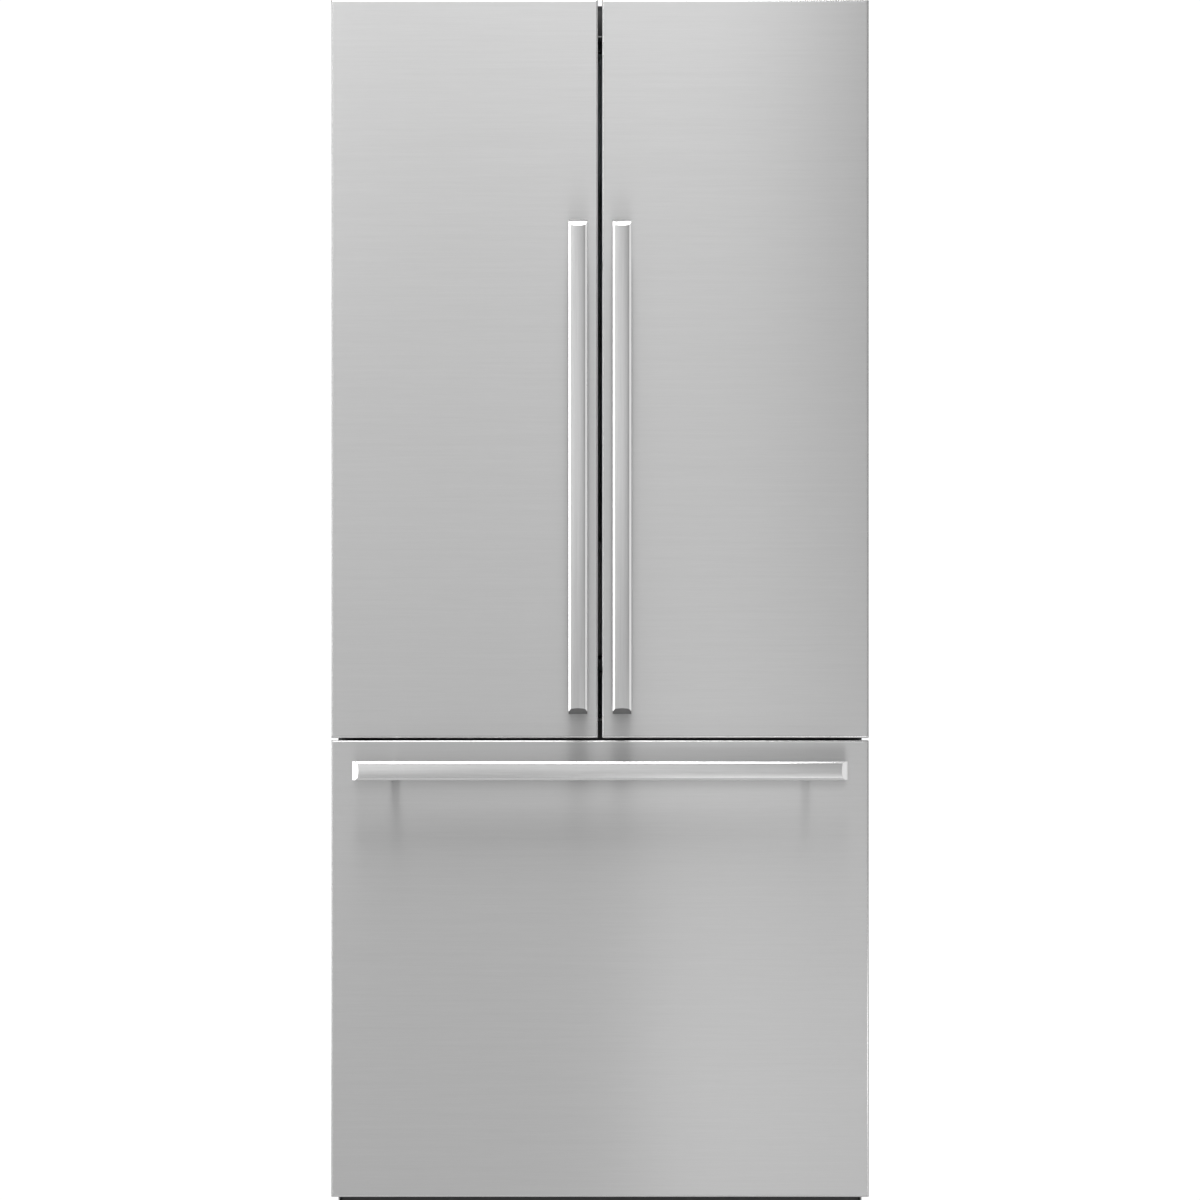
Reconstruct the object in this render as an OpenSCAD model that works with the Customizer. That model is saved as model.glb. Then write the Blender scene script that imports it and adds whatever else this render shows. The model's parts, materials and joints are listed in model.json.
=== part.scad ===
// French door refrigerator: two hinged upper doors over one freezer drawer.
// Origin: centre of the footprint, on the floor. +Z is up and the doors face -Y.

/* [Overall] */
// Width across the two door panels
overall_w = 908; // [740:1:1100]
// Height from the floor to the top edge of the door panels
overall_h = 2123; // [1765:1:2560]
// Depth from the front of the handles to the back
overall_d = 670; // [620:1:810]
// Height of the toe space below the drawer panel
toe_h = 102; // [92:1:125]

/* [Doors and drawer] */
// Height of the freezer drawer panel
drawer_h = 771; // [640:1:930]
// Depth of the folded metal front panels
panel_t = 19; // [15:0.5:24]
// Thickness of the sheet metal of the front panels
skin_t = 1.2; // [1:0.1:1.5]
// Thickness of the foam-filled door and drawer bodies
door_t = 45; // [37:0.5:56]
// Thickness of the door seals
gasket_t = 12; // [10:0.5:16]
// Space left between a closed seal and the cabinet
gasket_gap = 0.4; // [0.3:0.1:0.8]
// Gap between the two door panels
door_gap = 7; // [4:0.5:9]
// Gap between the door panels and the drawer panel
panel_gap = 4; // [3.4:0.2:5]
// How far the panels pass the cabinet at each side
overhang = 9.5; // [7:0.5:12]
// How far the door panels stand above the cabinet top
top_rise = 13; // [11:0.5:18]
// Thickness of the moulded door linings
lining_t = 2.5; // [2:0.1:3.2]
// Depth of the raised rim around each door lining
dyke_d = 40; // [32:1:50]

/* [Door hinges] */
// Hinge axis, in from the outer edge of the panel
hinge_in = 22; // [19:0.5:26]
// Hinge axis, behind the back of the panel
hinge_back = 10; // [9:0.25:12]
// Diameter of the hinge pins
pin_d = 10; // [8:0.1:12]
// Radial clearance of every pin in its hole
pin_clear = 0.05; // [0.02:0.01:0.09]
// Depth that a hinge pin reaches into the door
pin_reach = 20; // [15:1:25]
// Thickness of the hinge plates
plate_t = 4; // [3.2:0.2:4.4]

/* [Handles] */
// Width of the handle bars
handle_w = 32; // [26:0.5:39]
// Thickness of the handle bars, front to back
handle_t = 16; // [13:0.5:20]
// How far the handles stand out from the panels
handle_out = 60; // [50:1:72]
// Length of the two door handles
handle_len = 832; // [690:1:850]
// Bottom end of the door handles above the door's lower edge
handle_rise = 41; // [34:1:49]
// Door handle axis, from the centre line of the refrigerator
handle_off = 37; // [31:0.5:44]
// Drawer handle end, in from the edge of the panel
handle_margin = 37.5; // [31:0.5:45]
// Drawer handle axis, below the top edge of the drawer panel
handle_drop = 50; // [42:0.5:60]
// Width of the bevel along the edges of the handle bars
bevel = 4; // [3.3:0.1:4.8]
// Length of the bevel at the ends of the handle bars
end_bevel = 11; // [9:0.5:13]
// Diameter of the handle posts
post_d = 18; // [15:0.5:21]
// Handle posts, in from the ends of the bar
post_in = 70; // [58:1:84]

/* [Cabinet] */
// Thickness of the outer steel wrapper
shell_t = 1.5; // [1:0.1:2]
// Thickness of the food compartment linings
liner_t = 2; // [1.6:0.1:2.4]
// Insulated wall at each side
side_wall = 48; // [42:0.5:57]
// Insulated wall at the top
top_wall = 42; // [35:0.5:50]
// Insulated wall at the back
rear_wall = 58; // [48:0.5:69]
// Insulated floor under the freezer
floor_wall = 48; // [44:0.5:57]
// Cross rail above and below the panel gap
rail_in = 28; // [26:0.5:33]
// Machine space at the lower back: depth
mach_d = 200; // [190:1:215]
// Machine space at the lower back: top, above the floor
mach_h = 330; // [290:1:370]

/* [Food compartment] */
// Shelves in each of the two columns
shelf_n = 3; // [1:1:3]
// Depth of the shelves, front to back
shelf_d = 325; // [270:1:345]
// Thickness of the shelf frames
frame_t = 14; // [12:0.5:17]
// Thickness of the shelf glass
glass_t = 4; // [3:0.25:5]
// Height of the full-width lower drawer
pantry_h = 104; // [87:1:125]
// Height of the two crispers
crisper_h = 164; // [137:1:197]
// Depth of the crispers and the full-width drawer
crisper_d = 285; // [238:1:290]
// Wall of the clear drawers and bins
tub_t = 3; // [2.5:0.1:3.6]
// Bins on each door
bin_n = 3; // [2:1:3]
// Depth of the door bins
bin_d = 102; // [85:1:108]
// Height of the door bins
bin_h = 95; // [79:1:114]

/* [Freezer] */
// Length of the drawer slides
slide_len = 450; // [375:1:460]
// Height of the drawer slides
slide_h = 45; // [38:0.5:54]
// Bottom of the drawer slides, above the freezer floor
slide_up = 325; // [300:1:345]
// Depth of the lower basket, front to back
basket_d = 270; // [225:1:274]
// Height of the upper tray
tray_h = 115; // [96:1:138]
// Depth of the upper tray
tray_d = 240; // [200:1:288]

/* [Feet and fans] */
// Diameter of the threaded part of the front legs
leg_d = 12; // [10:0.5:14.4]
// Diameter of the rear rollers
roller_d = 44; // [37:0.5:52]
// Diameter of the condenser fan
fan_d = 130; // [108:1:156]
// Diameter of the evaporator fan
cold_fan_d = 116; // [97:1:128]

/* [Hidden] */
$fn = 48;

// Front to back
y_front = -overall_d / 2;
y_rear = overall_d / 2;
y_panel = y_front + handle_out;
y_door = y_panel + panel_t;
y_body = y_door + door_t;
y_cab = y_body + gasket_t;
front_t = 2;
cover_rise = 3;
y_back = y_rear - cover_rise;
y_foam0 = y_cab + front_t;
y_foam1 = y_back - shell_t;
y_deep = y_rear - rear_wall;
y_mach = y_rear - mach_d;
hump_t = 40;
y_hump = y_mach - hump_t;

// Up
cab_top = overall_h - top_rise;
z_split = toe_h + drawer_h;
z_door = z_split + panel_gap;
rail_lo = z_split - rail_in;
rail_hi = z_door + rail_in;
z_ceiling = cab_top - top_wall;
z_freezer = toe_h + floor_wall;
hump_cap = 45;
z_hump = mach_h + hump_cap;
skirt_z = 30;
base_z = 35;

// Across
cab_x = (overall_w - 2 * overhang) / 2;
foam_x = cab_x - shell_t;
cav_x = cab_x - side_wall;
room_x = cav_x - liner_t;

// Doors
body_side = 3.5;
body_edge = cab_x - body_side;
body_mid = door_gap / 2 + 4.5;
body_drop = 5;
body_top = cab_top - 4;
pivot_x = overall_w / 2 - hinge_in;
pivot_y = y_door + hinge_back;
hinge_r = hinge_back - 1.5;
hinge_near = 12;
hinge_far = 64;
gasket_w = 14;
seal_out = pivot_x - 1;
seal_mid = body_mid + 4;
seal_lo = z_door + 9;
seal_hi = body_top - 4;
dyke_w = 18;
dyke_out = room_x - 4.5;
dyke_mid = 60;
dyke_lo = rail_hi + 25;
dyke_hi = z_ceiling - 28;
y_lining = y_body + lining_t;

// Flip mullion, folded back beside the door lining while at rest
mullion_t = 18;
mullion_reach = 61;
mullion_x = -33;
mullion_y = y_cab + mullion_t / 2;
mullion_lo = rail_hi + 19;
mullion_hi = z_ceiling - 22;
mullion_pin_d = 8;
ear_t = 10;
ear_gap = 2;

// Food compartment
slip = 0.4;
z_floor = rail_hi + liner_t;
pantry_z = z_floor + slip;
deck_z = pantry_z + pantry_h + 4;
deck_t = 12;
crisper_z = deck_z + deck_t + slip;
cover_z = crisper_z + crisper_h + 4;
shelf_y1 = y_deep - liner_t - 25;
shelf_y0 = shelf_y1 - shelf_d;
crisper_y1 = shelf_y1 - 10;
crisper_y0 = crisper_y1 - crisper_d;
shelf_step = (z_ceiling - cover_z - frame_t) / (shelf_n + 1);
bin_base = cover_z + 36;
bin_step = (dyke_hi - dyke_w - bin_base) / bin_n;
duct_t = 15;
track_t = 7;
y_duct = y_deep - liner_t - duct_t;
y_track = y_duct - track_t;
lid_pivot_y = y_lining + 8;
lid_t = 3;
lid_pin_d = 5;
dairy_z = bin_base + (bin_n - 1) * bin_step;
lid_pivot_z = dairy_z + bin_h + 5;

// Freezer
slide_z = z_freezer + slide_up;
slide_y = y_cab + 9;
steel = 1.5;
play = 0.8;
channel_d = 11;
arm_u = channel_d + 1.7;
arm_t = 2;
ledge = 28;
ledge_z = slide_z + slide_h;
basket_y = y_hump - liner_t - 8 - basket_d;
basket_rim_z = ledge_z + arm_t;
rim_t = 3;
tray_z = basket_rim_z + rim_t + slip;
y_coil_cover = y_deep - liner_t - 47;
coil_cover_x = 330;
coil_cover_z = z_hump + 12;
coil_cover_top = rail_lo - 12;
cold_fan_z = coil_cover_top - cold_fan_d / 2 - 30;

// Base, feet and machine space
tray_plate_z = 60;
tray_plate_t = 3;
leg_x = foam_x - 45;
leg_y = y_cab + 75;
toe_y = y_cab + 30;
axle_d = 10;
axle_y = y_foam1 - 60;
wheel_w = 24;
wheel_x = foam_x - 60;
comp_x = 190;
comp_y = y_mach + mach_d / 2;
comp_r = 75;
fan_x = -105;
fan_z = tray_plate_z + tray_plate_t + fan_d / 2 + 18;
shaft_d = 6;
screw_d = 4;
screw_head = 9;

// Anti-tip bracket holes in the cabinet top
anti_tip_x = 350;
anti_tip_y = 30;
anti_tip_d = 6.5;
anti_tip_back = 70;

// A box between two corners
module block(x0, x1, y0, y1, z0, z1) {
    translate([x0, y0, z0]) cube([x1 - x0, y1 - y0, z1 - z0]);
}

// The same box on both sides of the centre line
module pair(x0, x1, y0, y1, z0, z1) {
    block(x0, x1, y0, y1, z0, z1);
    block(-x1, -x0, y0, y1, z0, z1);
}

// Children on the left, and their mirror image on the right
module both_sides() {
    children();
    mirror([1, 0, 0]) children();
}

module rod_x(d, x0, x1, y, z) {
    translate([x0, y, z]) rotate([0, 90, 0]) cylinder(d = d, h = x1 - x0);
}

module rod_y(d, x, y0, y1, z) {
    translate([x, y0, z]) rotate([-90, 0, 0]) cylinder(d = d, h = y1 - y0);
}

module rod_z(d, x, y, z0, z1) {
    translate([x, y, z0]) cylinder(d = d, h = z1 - z0);
}

// An open-topped tub with one wall thickness
module tub(x0, x1, y0, y1, z0, z1, t) {
    difference() {
        block(x0, x1, y0, y1, z0, z1);
        block(x0 + t, x1 - t, y0 + t, y1 - t, z0 + t, z1 + 1);
    }
}

// ---- Cabinet ----

module anti_tip_holes(d, depth) {
    for (x = [-anti_tip_x, anti_tip_x], y = [0, anti_tip_y])
        rod_z(d, x, y_back - anti_tip_back + y, cab_top - depth, cab_top + 1);
}

// Two side sheets with the top sheet between them
module cabinet_shell() {
    seam = 0.3;
    color("gainsboro") {
        pair(foam_x, cab_x, y_foam0, y_foam1, skirt_z, cab_top);
        difference() {
            block(seam - foam_x, foam_x - seam, y_foam0, y_foam1, cab_top - shell_t, cab_top);
            anti_tip_holes(anti_tip_d, shell_t + 1);
        }
    }
}

// Places of the screws around the back panel, as [x, z]
screw_x = cab_x - 14;
screw_rows = 6;
screw_step = (cab_top - mach_h - 40) / (screw_rows - 1);
back_screws = [for (i = [0:screw_rows - 1], x = [-screw_x, screw_x]) [x, mach_h + 20 + i * screw_step]];
cover_screws = [for (x = [-screw_x, screw_x], z = [skirt_z + 22, mach_h - 22]) [x, z]];

module back_panel() {
    color("silver") difference() {
        block(-cab_x, cab_x, y_foam1, y_back, mach_h, cab_top);
        for (p = back_screws)
            rod_y(screw_d + 0.4, p[0], y_foam1 - 1, y_back + 1, p[1]);
    }
}

// Screws that hold the back panel and the machine cover, all alike
module cabinet_screws() {
    color("dimgray") for (p = concat(back_screws, cover_screws)) {
        rod_y(screw_head, p[0], y_back, y_back + 2.4, p[1]);
        rod_y(screw_d, p[0], y_foam1 + 0.1, y_back, p[1]);
    }
}

// Foam, as separate blocks around the two compartments and the machine space
module cabinet_insulation() {
    joint = 0.5;
    inner = cav_x - joint;
    color("khaki") {
        difference() {
            block(-inner, inner, y_foam0, y_foam1, z_ceiling, cab_top - shell_t);
            anti_tip_holes(anti_tip_d + 8, shell_t + 20);
        }
        pair(cav_x, foam_x, y_foam0, y_mach - joint, toe_h, mach_h - joint);
        pair(cav_x, foam_x, y_foam0, y_foam1, mach_h, cab_top - shell_t);
        block(-inner, inner, y_deep, y_foam1, rail_hi, z_ceiling - joint);
        block(-inner, inner, y_foam0, y_foam1, rail_lo, rail_hi - joint);
        block(-inner, inner, y_deep, y_foam1, z_hump, rail_lo - joint);
        block(-inner, inner, y_hump, y_foam1, mach_h, z_hump - joint);
        block(-inner, inner, y_hump, y_mach, toe_h, mach_h - joint);
        block(-inner, inner, y_foam0, y_hump - joint, toe_h, z_freezer);
    }
}

module fridge_liner() {
    color("white") difference() {
        block(-cav_x, cav_x, y_cab, y_deep, rail_hi, z_ceiling);
        block(-room_x, room_x, y_cab - 1, y_deep - liner_t, z_floor, z_ceiling - liner_t);
    }
}

// Side view of the stepped freezer space, drawn as [y, z], shrunk by one wall
function freezer_profile(t, front) = [
    [front, z_freezer + t], [y_hump - t, z_freezer + t], [y_hump - t, z_hump + t],
    [y_deep - t, z_hump + t], [y_deep - t, rail_lo - t], [front, rail_lo - t]
];

module side_extrude(half_x) {
    translate([-half_x, 0, 0]) rotate([90, 0, 90]) linear_extrude(2 * half_x) children();
}

module freezer_liner() {
    color("white") difference() {
        side_extrude(cav_x) polygon(freezer_profile(0, y_cab));
        side_extrude(room_x) polygon(freezer_profile(liner_t, y_cab - 1));
    }
}

// Painted steel face that the seals close on
module front_frame() {
    color("lightgray") difference() {
        block(-cab_x, cab_x, y_cab, y_foam0, toe_h, cab_top);
        block(-cav_x, cav_x, y_cab - 1, y_foam0 + 1, rail_hi, z_ceiling);
        block(-cav_x, cav_x, y_cab - 1, y_foam0 + 1, z_freezer, rail_lo);
    }
}

module machine_cover() {
    slots = 9;
    first = inlet_z + inlet_h / 2 + 14;
    step = (mach_h - first - 50) / (slots - 1);
    field = cab_x - 30;
    color("darkgray") difference() {
        union() {
            block(-cab_x, cab_x, y_foam1, y_back, skirt_z, mach_h);
            block(-field, field, y_back, y_rear, skirt_z + 10, mach_h - 12);
        }
        block(3 - field, field - 3, y_foam1 - 1, y_rear - shell_t, skirt_z + 13, mach_h - 15);
        for (i = [0:slots - 1], side = [-1, 1])
            translate([side * field / 2, 0, first + i * step])
                block(-field * 0.4, field * 0.4, y_foam1, y_rear + 1, 0, 7);
        for (p = cover_screws)
            rod_y(screw_d + 0.4, p[0], y_foam1 - 1, y_back + 1, p[1]);
        block(inlet_x - inlet_w / 2, inlet_x + inlet_w / 2, y_foam1 - 1, y_rear + 1,
            inlet_z - inlet_h / 2, inlet_z + inlet_h / 2);
    }
}

// Mains inlet: a shrouded socket with three flat pins, set into the machine cover
inlet_w = 31;
inlet_h = 26;
inlet_x = -cab_x + 90;
inlet_z = tray_plate_z + tray_plate_t + inlet_h / 2 + 6;
module power_inlet() {
    depth = 22;
    wall = 2;
    color("black") translate([inlet_x, y_rear - depth, inlet_z]) {
        difference() {
            block(-inlet_w / 2, inlet_w / 2, 0, depth, -inlet_h / 2, inlet_h / 2);
            block(wall - inlet_w / 2, inlet_w / 2 - wall, wall, depth + 1, wall - inlet_h / 2,
                inlet_h / 2 - wall);
        }
        for (p = [[-7, -2], [0, 4], [7, -2]])
            block(p[0] - 1, p[0] + 1, wall, depth - 4, p[1] - 2.5, p[1] + 2.5);
    }
}

module base_frame() {
    wall = 3;
    width = 32;
    boss_d = leg_d + 16;
    color("dimgray") difference() {
        union() {
            for (side = [0, 1]) mirror([side, 0, 0]) difference() {
                block(foam_x - width, foam_x, leg_y - 35, y_foam1, base_z, toe_h);
                block(foam_x - width - 1, foam_x - wall, leg_y - 36, y_foam1 + 1, base_z + wall,
                    toe_h - wall);
                block(foam_x - width - 1, foam_x - wall, y_mach, y_foam1 + 1, base_z + wall, toe_h + 1);
            }
            block(-foam_x + 1, foam_x - 1, leg_y - 25, leg_y + 25, toe_h - 8, toe_h);
            block(-foam_x + 1, foam_x - 1, y_mach - 60, y_mach - 20, toe_h - 5, toe_h);
            block(-foam_x + 1, foam_x - 1, y_mach, y_foam1, tray_plate_z, tray_plate_z + tray_plate_t);
            block(-foam_x + 1, foam_x - 1, y_mach - wall, y_mach, tray_plate_z, toe_h);
            both_sides() {
                rod_z(boss_d, leg_x, leg_y, base_z + 10, toe_h);
                for (x = [wheel_x - wheel_w / 2 - 6, wheel_x + wheel_w / 2 + 3])
                    block(x, x + 3, axle_y - 14, axle_y + 14, roller_d / 2 - 10, tray_plate_z + 1);
            }
        }
        both_sides() rod_z(leg_d + 2 * pin_clear, leg_x, leg_y, base_z, toe_h + 1);
        rod_x(axle_d + 2 * pin_clear, -foam_x + 5, foam_x - 5, axle_y, roller_d / 2);
    }
}

module toe_grille() {
    slots = 28;
    half = foam_x - 3;
    step = 2 * (half - 24) / (slots - 1);
    color("dimgray") difference() {
        block(-half, half, toe_y, toe_y + 2.5, 14, toe_h - 1);
        for (i = [0:slots - 1])
            block(24 - half + i * step - 4, 24 - half + i * step + 4, toe_y - 1, toe_y + 4, 30, toe_h - 18);
    }
}

// ---- Hinges that the doors turn on ----

// Outline of a hinge plate, with the pin at the origin and the cabinet behind it
module hinge_outline(back) {
    reach = y_cab - pivot_y;
    circle(r = hinge_r);
    polygon([
        [-hinge_r * 0.86, hinge_r * 0.5], [hinge_r, 0], [hinge_far, reach], [hinge_far, reach + back],
        [hinge_near, reach + back], [hinge_near, reach]
    ]);
}

module top_hinges() {
    color("gray") both_sides() translate([-pivot_x, pivot_y, cab_top]) {
        linear_extrude(plate_t) hinge_outline(80);
        rod_z(pin_d, 0, 0, body_top - pin_reach - cab_top, 0.01);
        for (y = [20, 62])
            rod_z(13, 40, y_cab - pivot_y + y, plate_t, plate_t + 3);
    }
}

module centre_hinges() {
    z0 = z_split + (panel_gap - plate_t) / 2 - 1;
    color("gray") both_sides() translate([-pivot_x, pivot_y, z0]) {
        reach = y_cab - pivot_y;
        linear_extrude(plate_t) difference() {
            hinge_outline(0.01);
            translate([-100, reach]) square([300, 50]);
        }
        block(hinge_near, hinge_far, reach - 4, reach, -8, plate_t + 7);
        rod_z(pin_d, 0, 0, plate_t - 0.01, z_door + body_drop + pin_reach - z0);
    }
}

// A cover over each top hinge, and the trim strip between them
module hinge_covers() {
    wall = 2;
    rise = top_rise - 1;
    back = 110;
    side_in = 4;
    side_out = 76;
    strip_x = pivot_x - side_out - 2;
    color("gray") {
        both_sides() translate([-pivot_x, y_cab + 3, cab_top]) difference() {
            block(side_in, side_out, 0, back, 0, rise);
            block(side_in + wall, side_out - wall, -1, back - wall, -1, rise - wall);
        }
        block(-strip_x, strip_x, y_cab, y_cab + 14, cab_top, cab_top + top_rise - 4);
    }
}

// ---- Cooling system ----

// Half outline of the compressor's domed can, as [radius, height]
function dome(r, h, n) = [for (i = [0:n]) [r * cos(90 * i / n), h * sin(90 * i / n)]];

module compressor() {
    foot = 12;
    can = 80;
    cap = 52;
    z0 = tray_plate_z + tray_plate_t;
    color("black") translate([comp_x, comp_y, z0]) {
        for (x = [-85, 85], y = [-60, 60])
            rod_z(22, x, y, 0, foot);
        block(-100, 100, -72, 72, foot, foot + 4);
        rotate_extrude() polygon(concat(
            [[0, foot + 3.9], [comp_r - 8, foot + 3.9], [comp_r, foot + 14]],
            [[comp_r, foot + can / 2], [comp_r + 4, foot + can / 2], [comp_r + 4, foot + can / 2 + 6]],
            [for (p = dome(comp_r, cap, 7)) [p[0], foot + can + p[1]]]
        ));
        block(-comp_r - 22, -comp_r + 5, -26, 26, foot + 20, foot + 70);
        for (y = [-16, 16])
            rod_z(8, 30, y, foot + can + 20, foot + can + cap + 25);
    }
}

// A finned coil: plates across x, tubes along x and round bends at their ends
module coil(x0, x1, y0, y1, z0, z1, fins, rows, tube) {
    $fn = 24;
    step = (x1 - x0 - 1.2) / (fins - 1);
    rise = (z1 - z0) / rows;
    mid = (y0 + y1) / 2;
    for (i = [0:fins - 1])
        block(x0 + i * step, x0 + i * step + 1.2, y0, y1, z0, z1);
    for (r = [0:rows - 1])
        rod_x(tube, x0 - 6, x1 + 6, mid, z0 + (r + 0.5) * rise);
    for (r = [0:rows - 2])
        translate([r % 2 == 0 ? x1 + 6 : x0 - 6, mid, z0 + (r + 1) * rise])
            rotate([90, r % 2 == 0 ? -90 : 90, 0])
                rotate_extrude(angle = 180) translate([rise / 2, 0]) circle(d = tube);
}

module condenser() {
    z0 = tray_plate_z + tray_plate_t;
    x0 = -foam_x + 80;
    x1 = fan_x - 55;
    color("peru") {
        coil(x0, x1, y_mach + 25, y_foam1 - 30, z0 + 10, z0 + 170, 16, 5, 9);
        for (x = [x0 - 0.6, x1 - 1.4])
            block(x, x + 2, y_mach + 35, y_foam1 - 40, z0, z0 + 12);
    }
}

module evaporator() {
    y0 = y_coil_cover + 10;
    color("silver") coil(-280, 280, y0, y_deep - liner_t - 5, coil_cover_z + 22,
        cold_fan_z - cold_fan_d / 2 - 24,
        22, 6, 9);
}

// Fan rotor with its axis along +Z: hub, shaft and pitched blades
module fan_rotor(d, h, shaft) {
    blades = 5;
    hub = d * 0.3;
    cylinder(d = hub, h = h);
    translate([0, 0, h - 0.01]) cylinder(d = shaft_d, h = shaft);
    intersection() {
        cylinder(d = d, h = h);
        for (i = [0:blades - 1])
            rotate([0, 0, 360 * i / blades]) translate([0, 0, h / 2]) rotate([32, 0, 0])
                translate([hub / 2 - 2, -d * 0.17, -1]) cube([d / 2, d * 0.34, 2]);
    }
}

module condenser_fan() {
    color("black") translate([fan_x, comp_y, fan_z]) rotate([0, 90, 0]) fan_rotor(fan_d, 24, 16);
}

module evaporator_fan() {
    color("black") translate([0, y_coil_cover + 6, cold_fan_z]) rotate([-90, 0, 0])
        fan_rotor(cold_fan_d, 18, 12);
}

module fan_motors() {
    hot_x = fan_x + 24 + 4;
    cold_y = y_coil_cover + 6 + 18 + 3;
    z0 = tray_plate_z + tray_plate_t;
    color("dimgray") difference() {
        union() {
            rod_x(58, hot_x, hot_x + 32, comp_y, fan_z);
            block(hot_x + 8, hot_x + 11, comp_y - 60, comp_y + 60, z0, fan_z);
            rod_y(44, 0, cold_y, y_deep - liner_t, cold_fan_z);
        }
        rod_x(shaft_d + 2 * pin_clear, hot_x - 1, hot_x + 14, comp_y, fan_z);
        rod_y(shaft_d + 2 * pin_clear, 0, cold_y - 1, cold_y + 11, cold_fan_z);
    }
}

// One ring of the guard in front of the evaporator fan
module fan_guard_ring(d) {
    difference() {
        cylinder(d = d, h = 2);
        translate([0, 0, -1]) cylinder(d = d - 5, h = 4);
    }
}

module evaporator_cover() {
    wall = 3;
    guard_rings = 4;
    y1 = y_deep - liner_t;
    slots = 12;
    step = 40;
    color("white") difference() {
        union() {
            difference() {
                block(-coil_cover_x, coil_cover_x, y_coil_cover, y1, coil_cover_z, coil_cover_top);
                block(wall - coil_cover_x, coil_cover_x - wall, y_coil_cover + wall, y1 + 1,
                    coil_cover_z + wall, coil_cover_top - wall);
                rod_y(cold_fan_d + 6, 0, y_coil_cover - 1, y_coil_cover + wall + 1, cold_fan_z);
            }
            translate([0, y_coil_cover + 0.5, cold_fan_z]) rotate([-90, 0, 0]) {
                for (i = [1:guard_rings])
                    fan_guard_ring(i * cold_fan_d / guard_rings + 8);
                for (a = [0, 90])
                    rotate([0, 0, a + 10]) translate([-cold_fan_d / 2 - 5, -1.5, 0])
                        cube([cold_fan_d + 10, 3, 2]);
            }
        }
        for (i = [0:slots - 1])
            translate([(i - (slots - 1) / 2) * step, 0, 0])
                block(-13, 13, y_coil_cover - 1, y_coil_cover + wall + 1, coil_cover_z + 12,
                    coil_cover_z + 20);
    }
}

module air_duct() {
    outlets = 5;
    z0 = cover_z + 24;
    z1 = z_ceiling - liner_t - 6;
    step = (z1 - z0) / outlets;
    color("white") difference() {
        block(4 - room_x, room_x - 4, y_duct, y_duct + duct_t, z0, z1);
        for (i = [0:outlets - 1], side = [-1, 1])
            translate([side * room_x / 2, 0, z0 + (i + 0.5) * step])
                block(-60, 60, y_duct - 1, y_duct + 8, -7, 7);
    }
}

module ice_maker() {
    x0 = -room_x + 16;
    y1 = y_coil_cover - 10;
    z1 = rail_lo - liner_t;
    color("white") {
        block(x0, x0 + 250, y1 - 130, y1, z1 - 62, z1);
        difference() {
            block(x0, x0 + 210, y1 - 125, y1 - 5, z1 - 96, z1 - 62);
            for (i = [0:6])
                block(x0 + 12 + i * 28, x0 + 30 + i * 28, y1 - 115, y1 - 15, z1 - 88, z1 - 61.9);
        }
    }
}

module fridge_lights() {
    color("white") pair(150, 300, shelf_y0 + 10, shelf_y0 + 34, z_ceiling - liner_t - 5, z_ceiling - liner_t);
}

module control_panel() {
    z1 = z_ceiling - liner_t;
    color("black") difference() {
        block(-95, 95, shelf_y0 - 30, shelf_y0 + 60, z1 - 14, z1);
        for (i = [-2:2])
            rod_z(12, i * 32, shelf_y0 + 10, z1 - 15, z1 - 13);
    }
}

// ---- Shelves ----

shelf_x0 = 4;
shelf_x1 = room_x - 6;
shelf_levels = [for (i = [1:shelf_n]) cover_z + i * shelf_step];
track_x = [shelf_x0 + 7, shelf_x1 - 7];

// Slotted tracks on the rear wall, and a bracket on each one under every shelf
module shelf_supports() {
    slot_step = 50;
    slot_w = 4;
    slot_h = 14;
    track_w = 12;
    arm_w = 3;
    arm_drop = 34;
    tip_drop = 10;
    z0 = cover_z + frame_t + 16;
    z1 = z_ceiling - liner_t - 14;
    arm_y0 = shelf_y0 + 30;
    arm_y1 = y_track - 0.2;
    color("silver") for (side = [0, 1]) mirror([side, 0, 0]) {
        for (x = track_x) {
            difference() {
                block(x - track_w / 2, x + track_w / 2, y_track, y_duct, z0, z1);
                for (z = [z0 + 20:slot_step:z1 - 20])
                    block(x - slot_w / 2, x + slot_w / 2, y_track - 1, y_track + 4, z, z + slot_h);
            }
            for (z = shelf_levels)
                translate([x - arm_w / 2, 0, z]) rotate([90, 0, 90]) linear_extrude(arm_w)
                    polygon([[arm_y0, 0], [arm_y1, 0], [arm_y1, -arm_drop], [arm_y0, -tip_drop]]);
        }
    }
}

module shelf_frame(x0, x1, y0, y1, z, t) {
    rim = 18;
    lip = 6;
    difference() {
        block(x0, x1, y0, y1, z, z + t);
        block(x0 + rim, x1 - rim, y0 + rim, y1 - rim, z - 1, z + t + 1);
        block(x0 + lip, x1 - lip, y0 + lip, y1 - lip, z + t - glass_t, z + t + 1);
    }
}

module pane(x0, x1, y0, y1, z, t) {
    lip = 6.4;
    block(x0 + lip, x1 - lip, y0 + lip, y1 - lip, z + t - glass_t, z + t);
}

module shelf_frames() {
    wide = room_x - 1;
    color("whitesmoke") {
        for (side = [0, 1], z = shelf_levels)
            mirror([side, 0, 0]) shelf_frame(shelf_x0, shelf_x1, shelf_y0, shelf_y1 - 2, z, frame_t);
        union() {
            shelf_frame(-wide, wide, shelf_y0, shelf_y1 - 2, cover_z, frame_t);
            shelf_frame(-wide, wide, shelf_y0 + 20, shelf_y1 - 2, deck_z, deck_t);
            pair(wide - 5, wide, shelf_y0 + 20, shelf_y1 - 2, z_floor, cover_z);
            block(-4, 4, shelf_y0 + 20, shelf_y1 - 2, deck_z, cover_z + 2);
            pair(0, 9, shelf_y0 + 20, shelf_y1 - 2, deck_z, deck_z + deck_t - glass_t);
        }
    }
}

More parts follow.
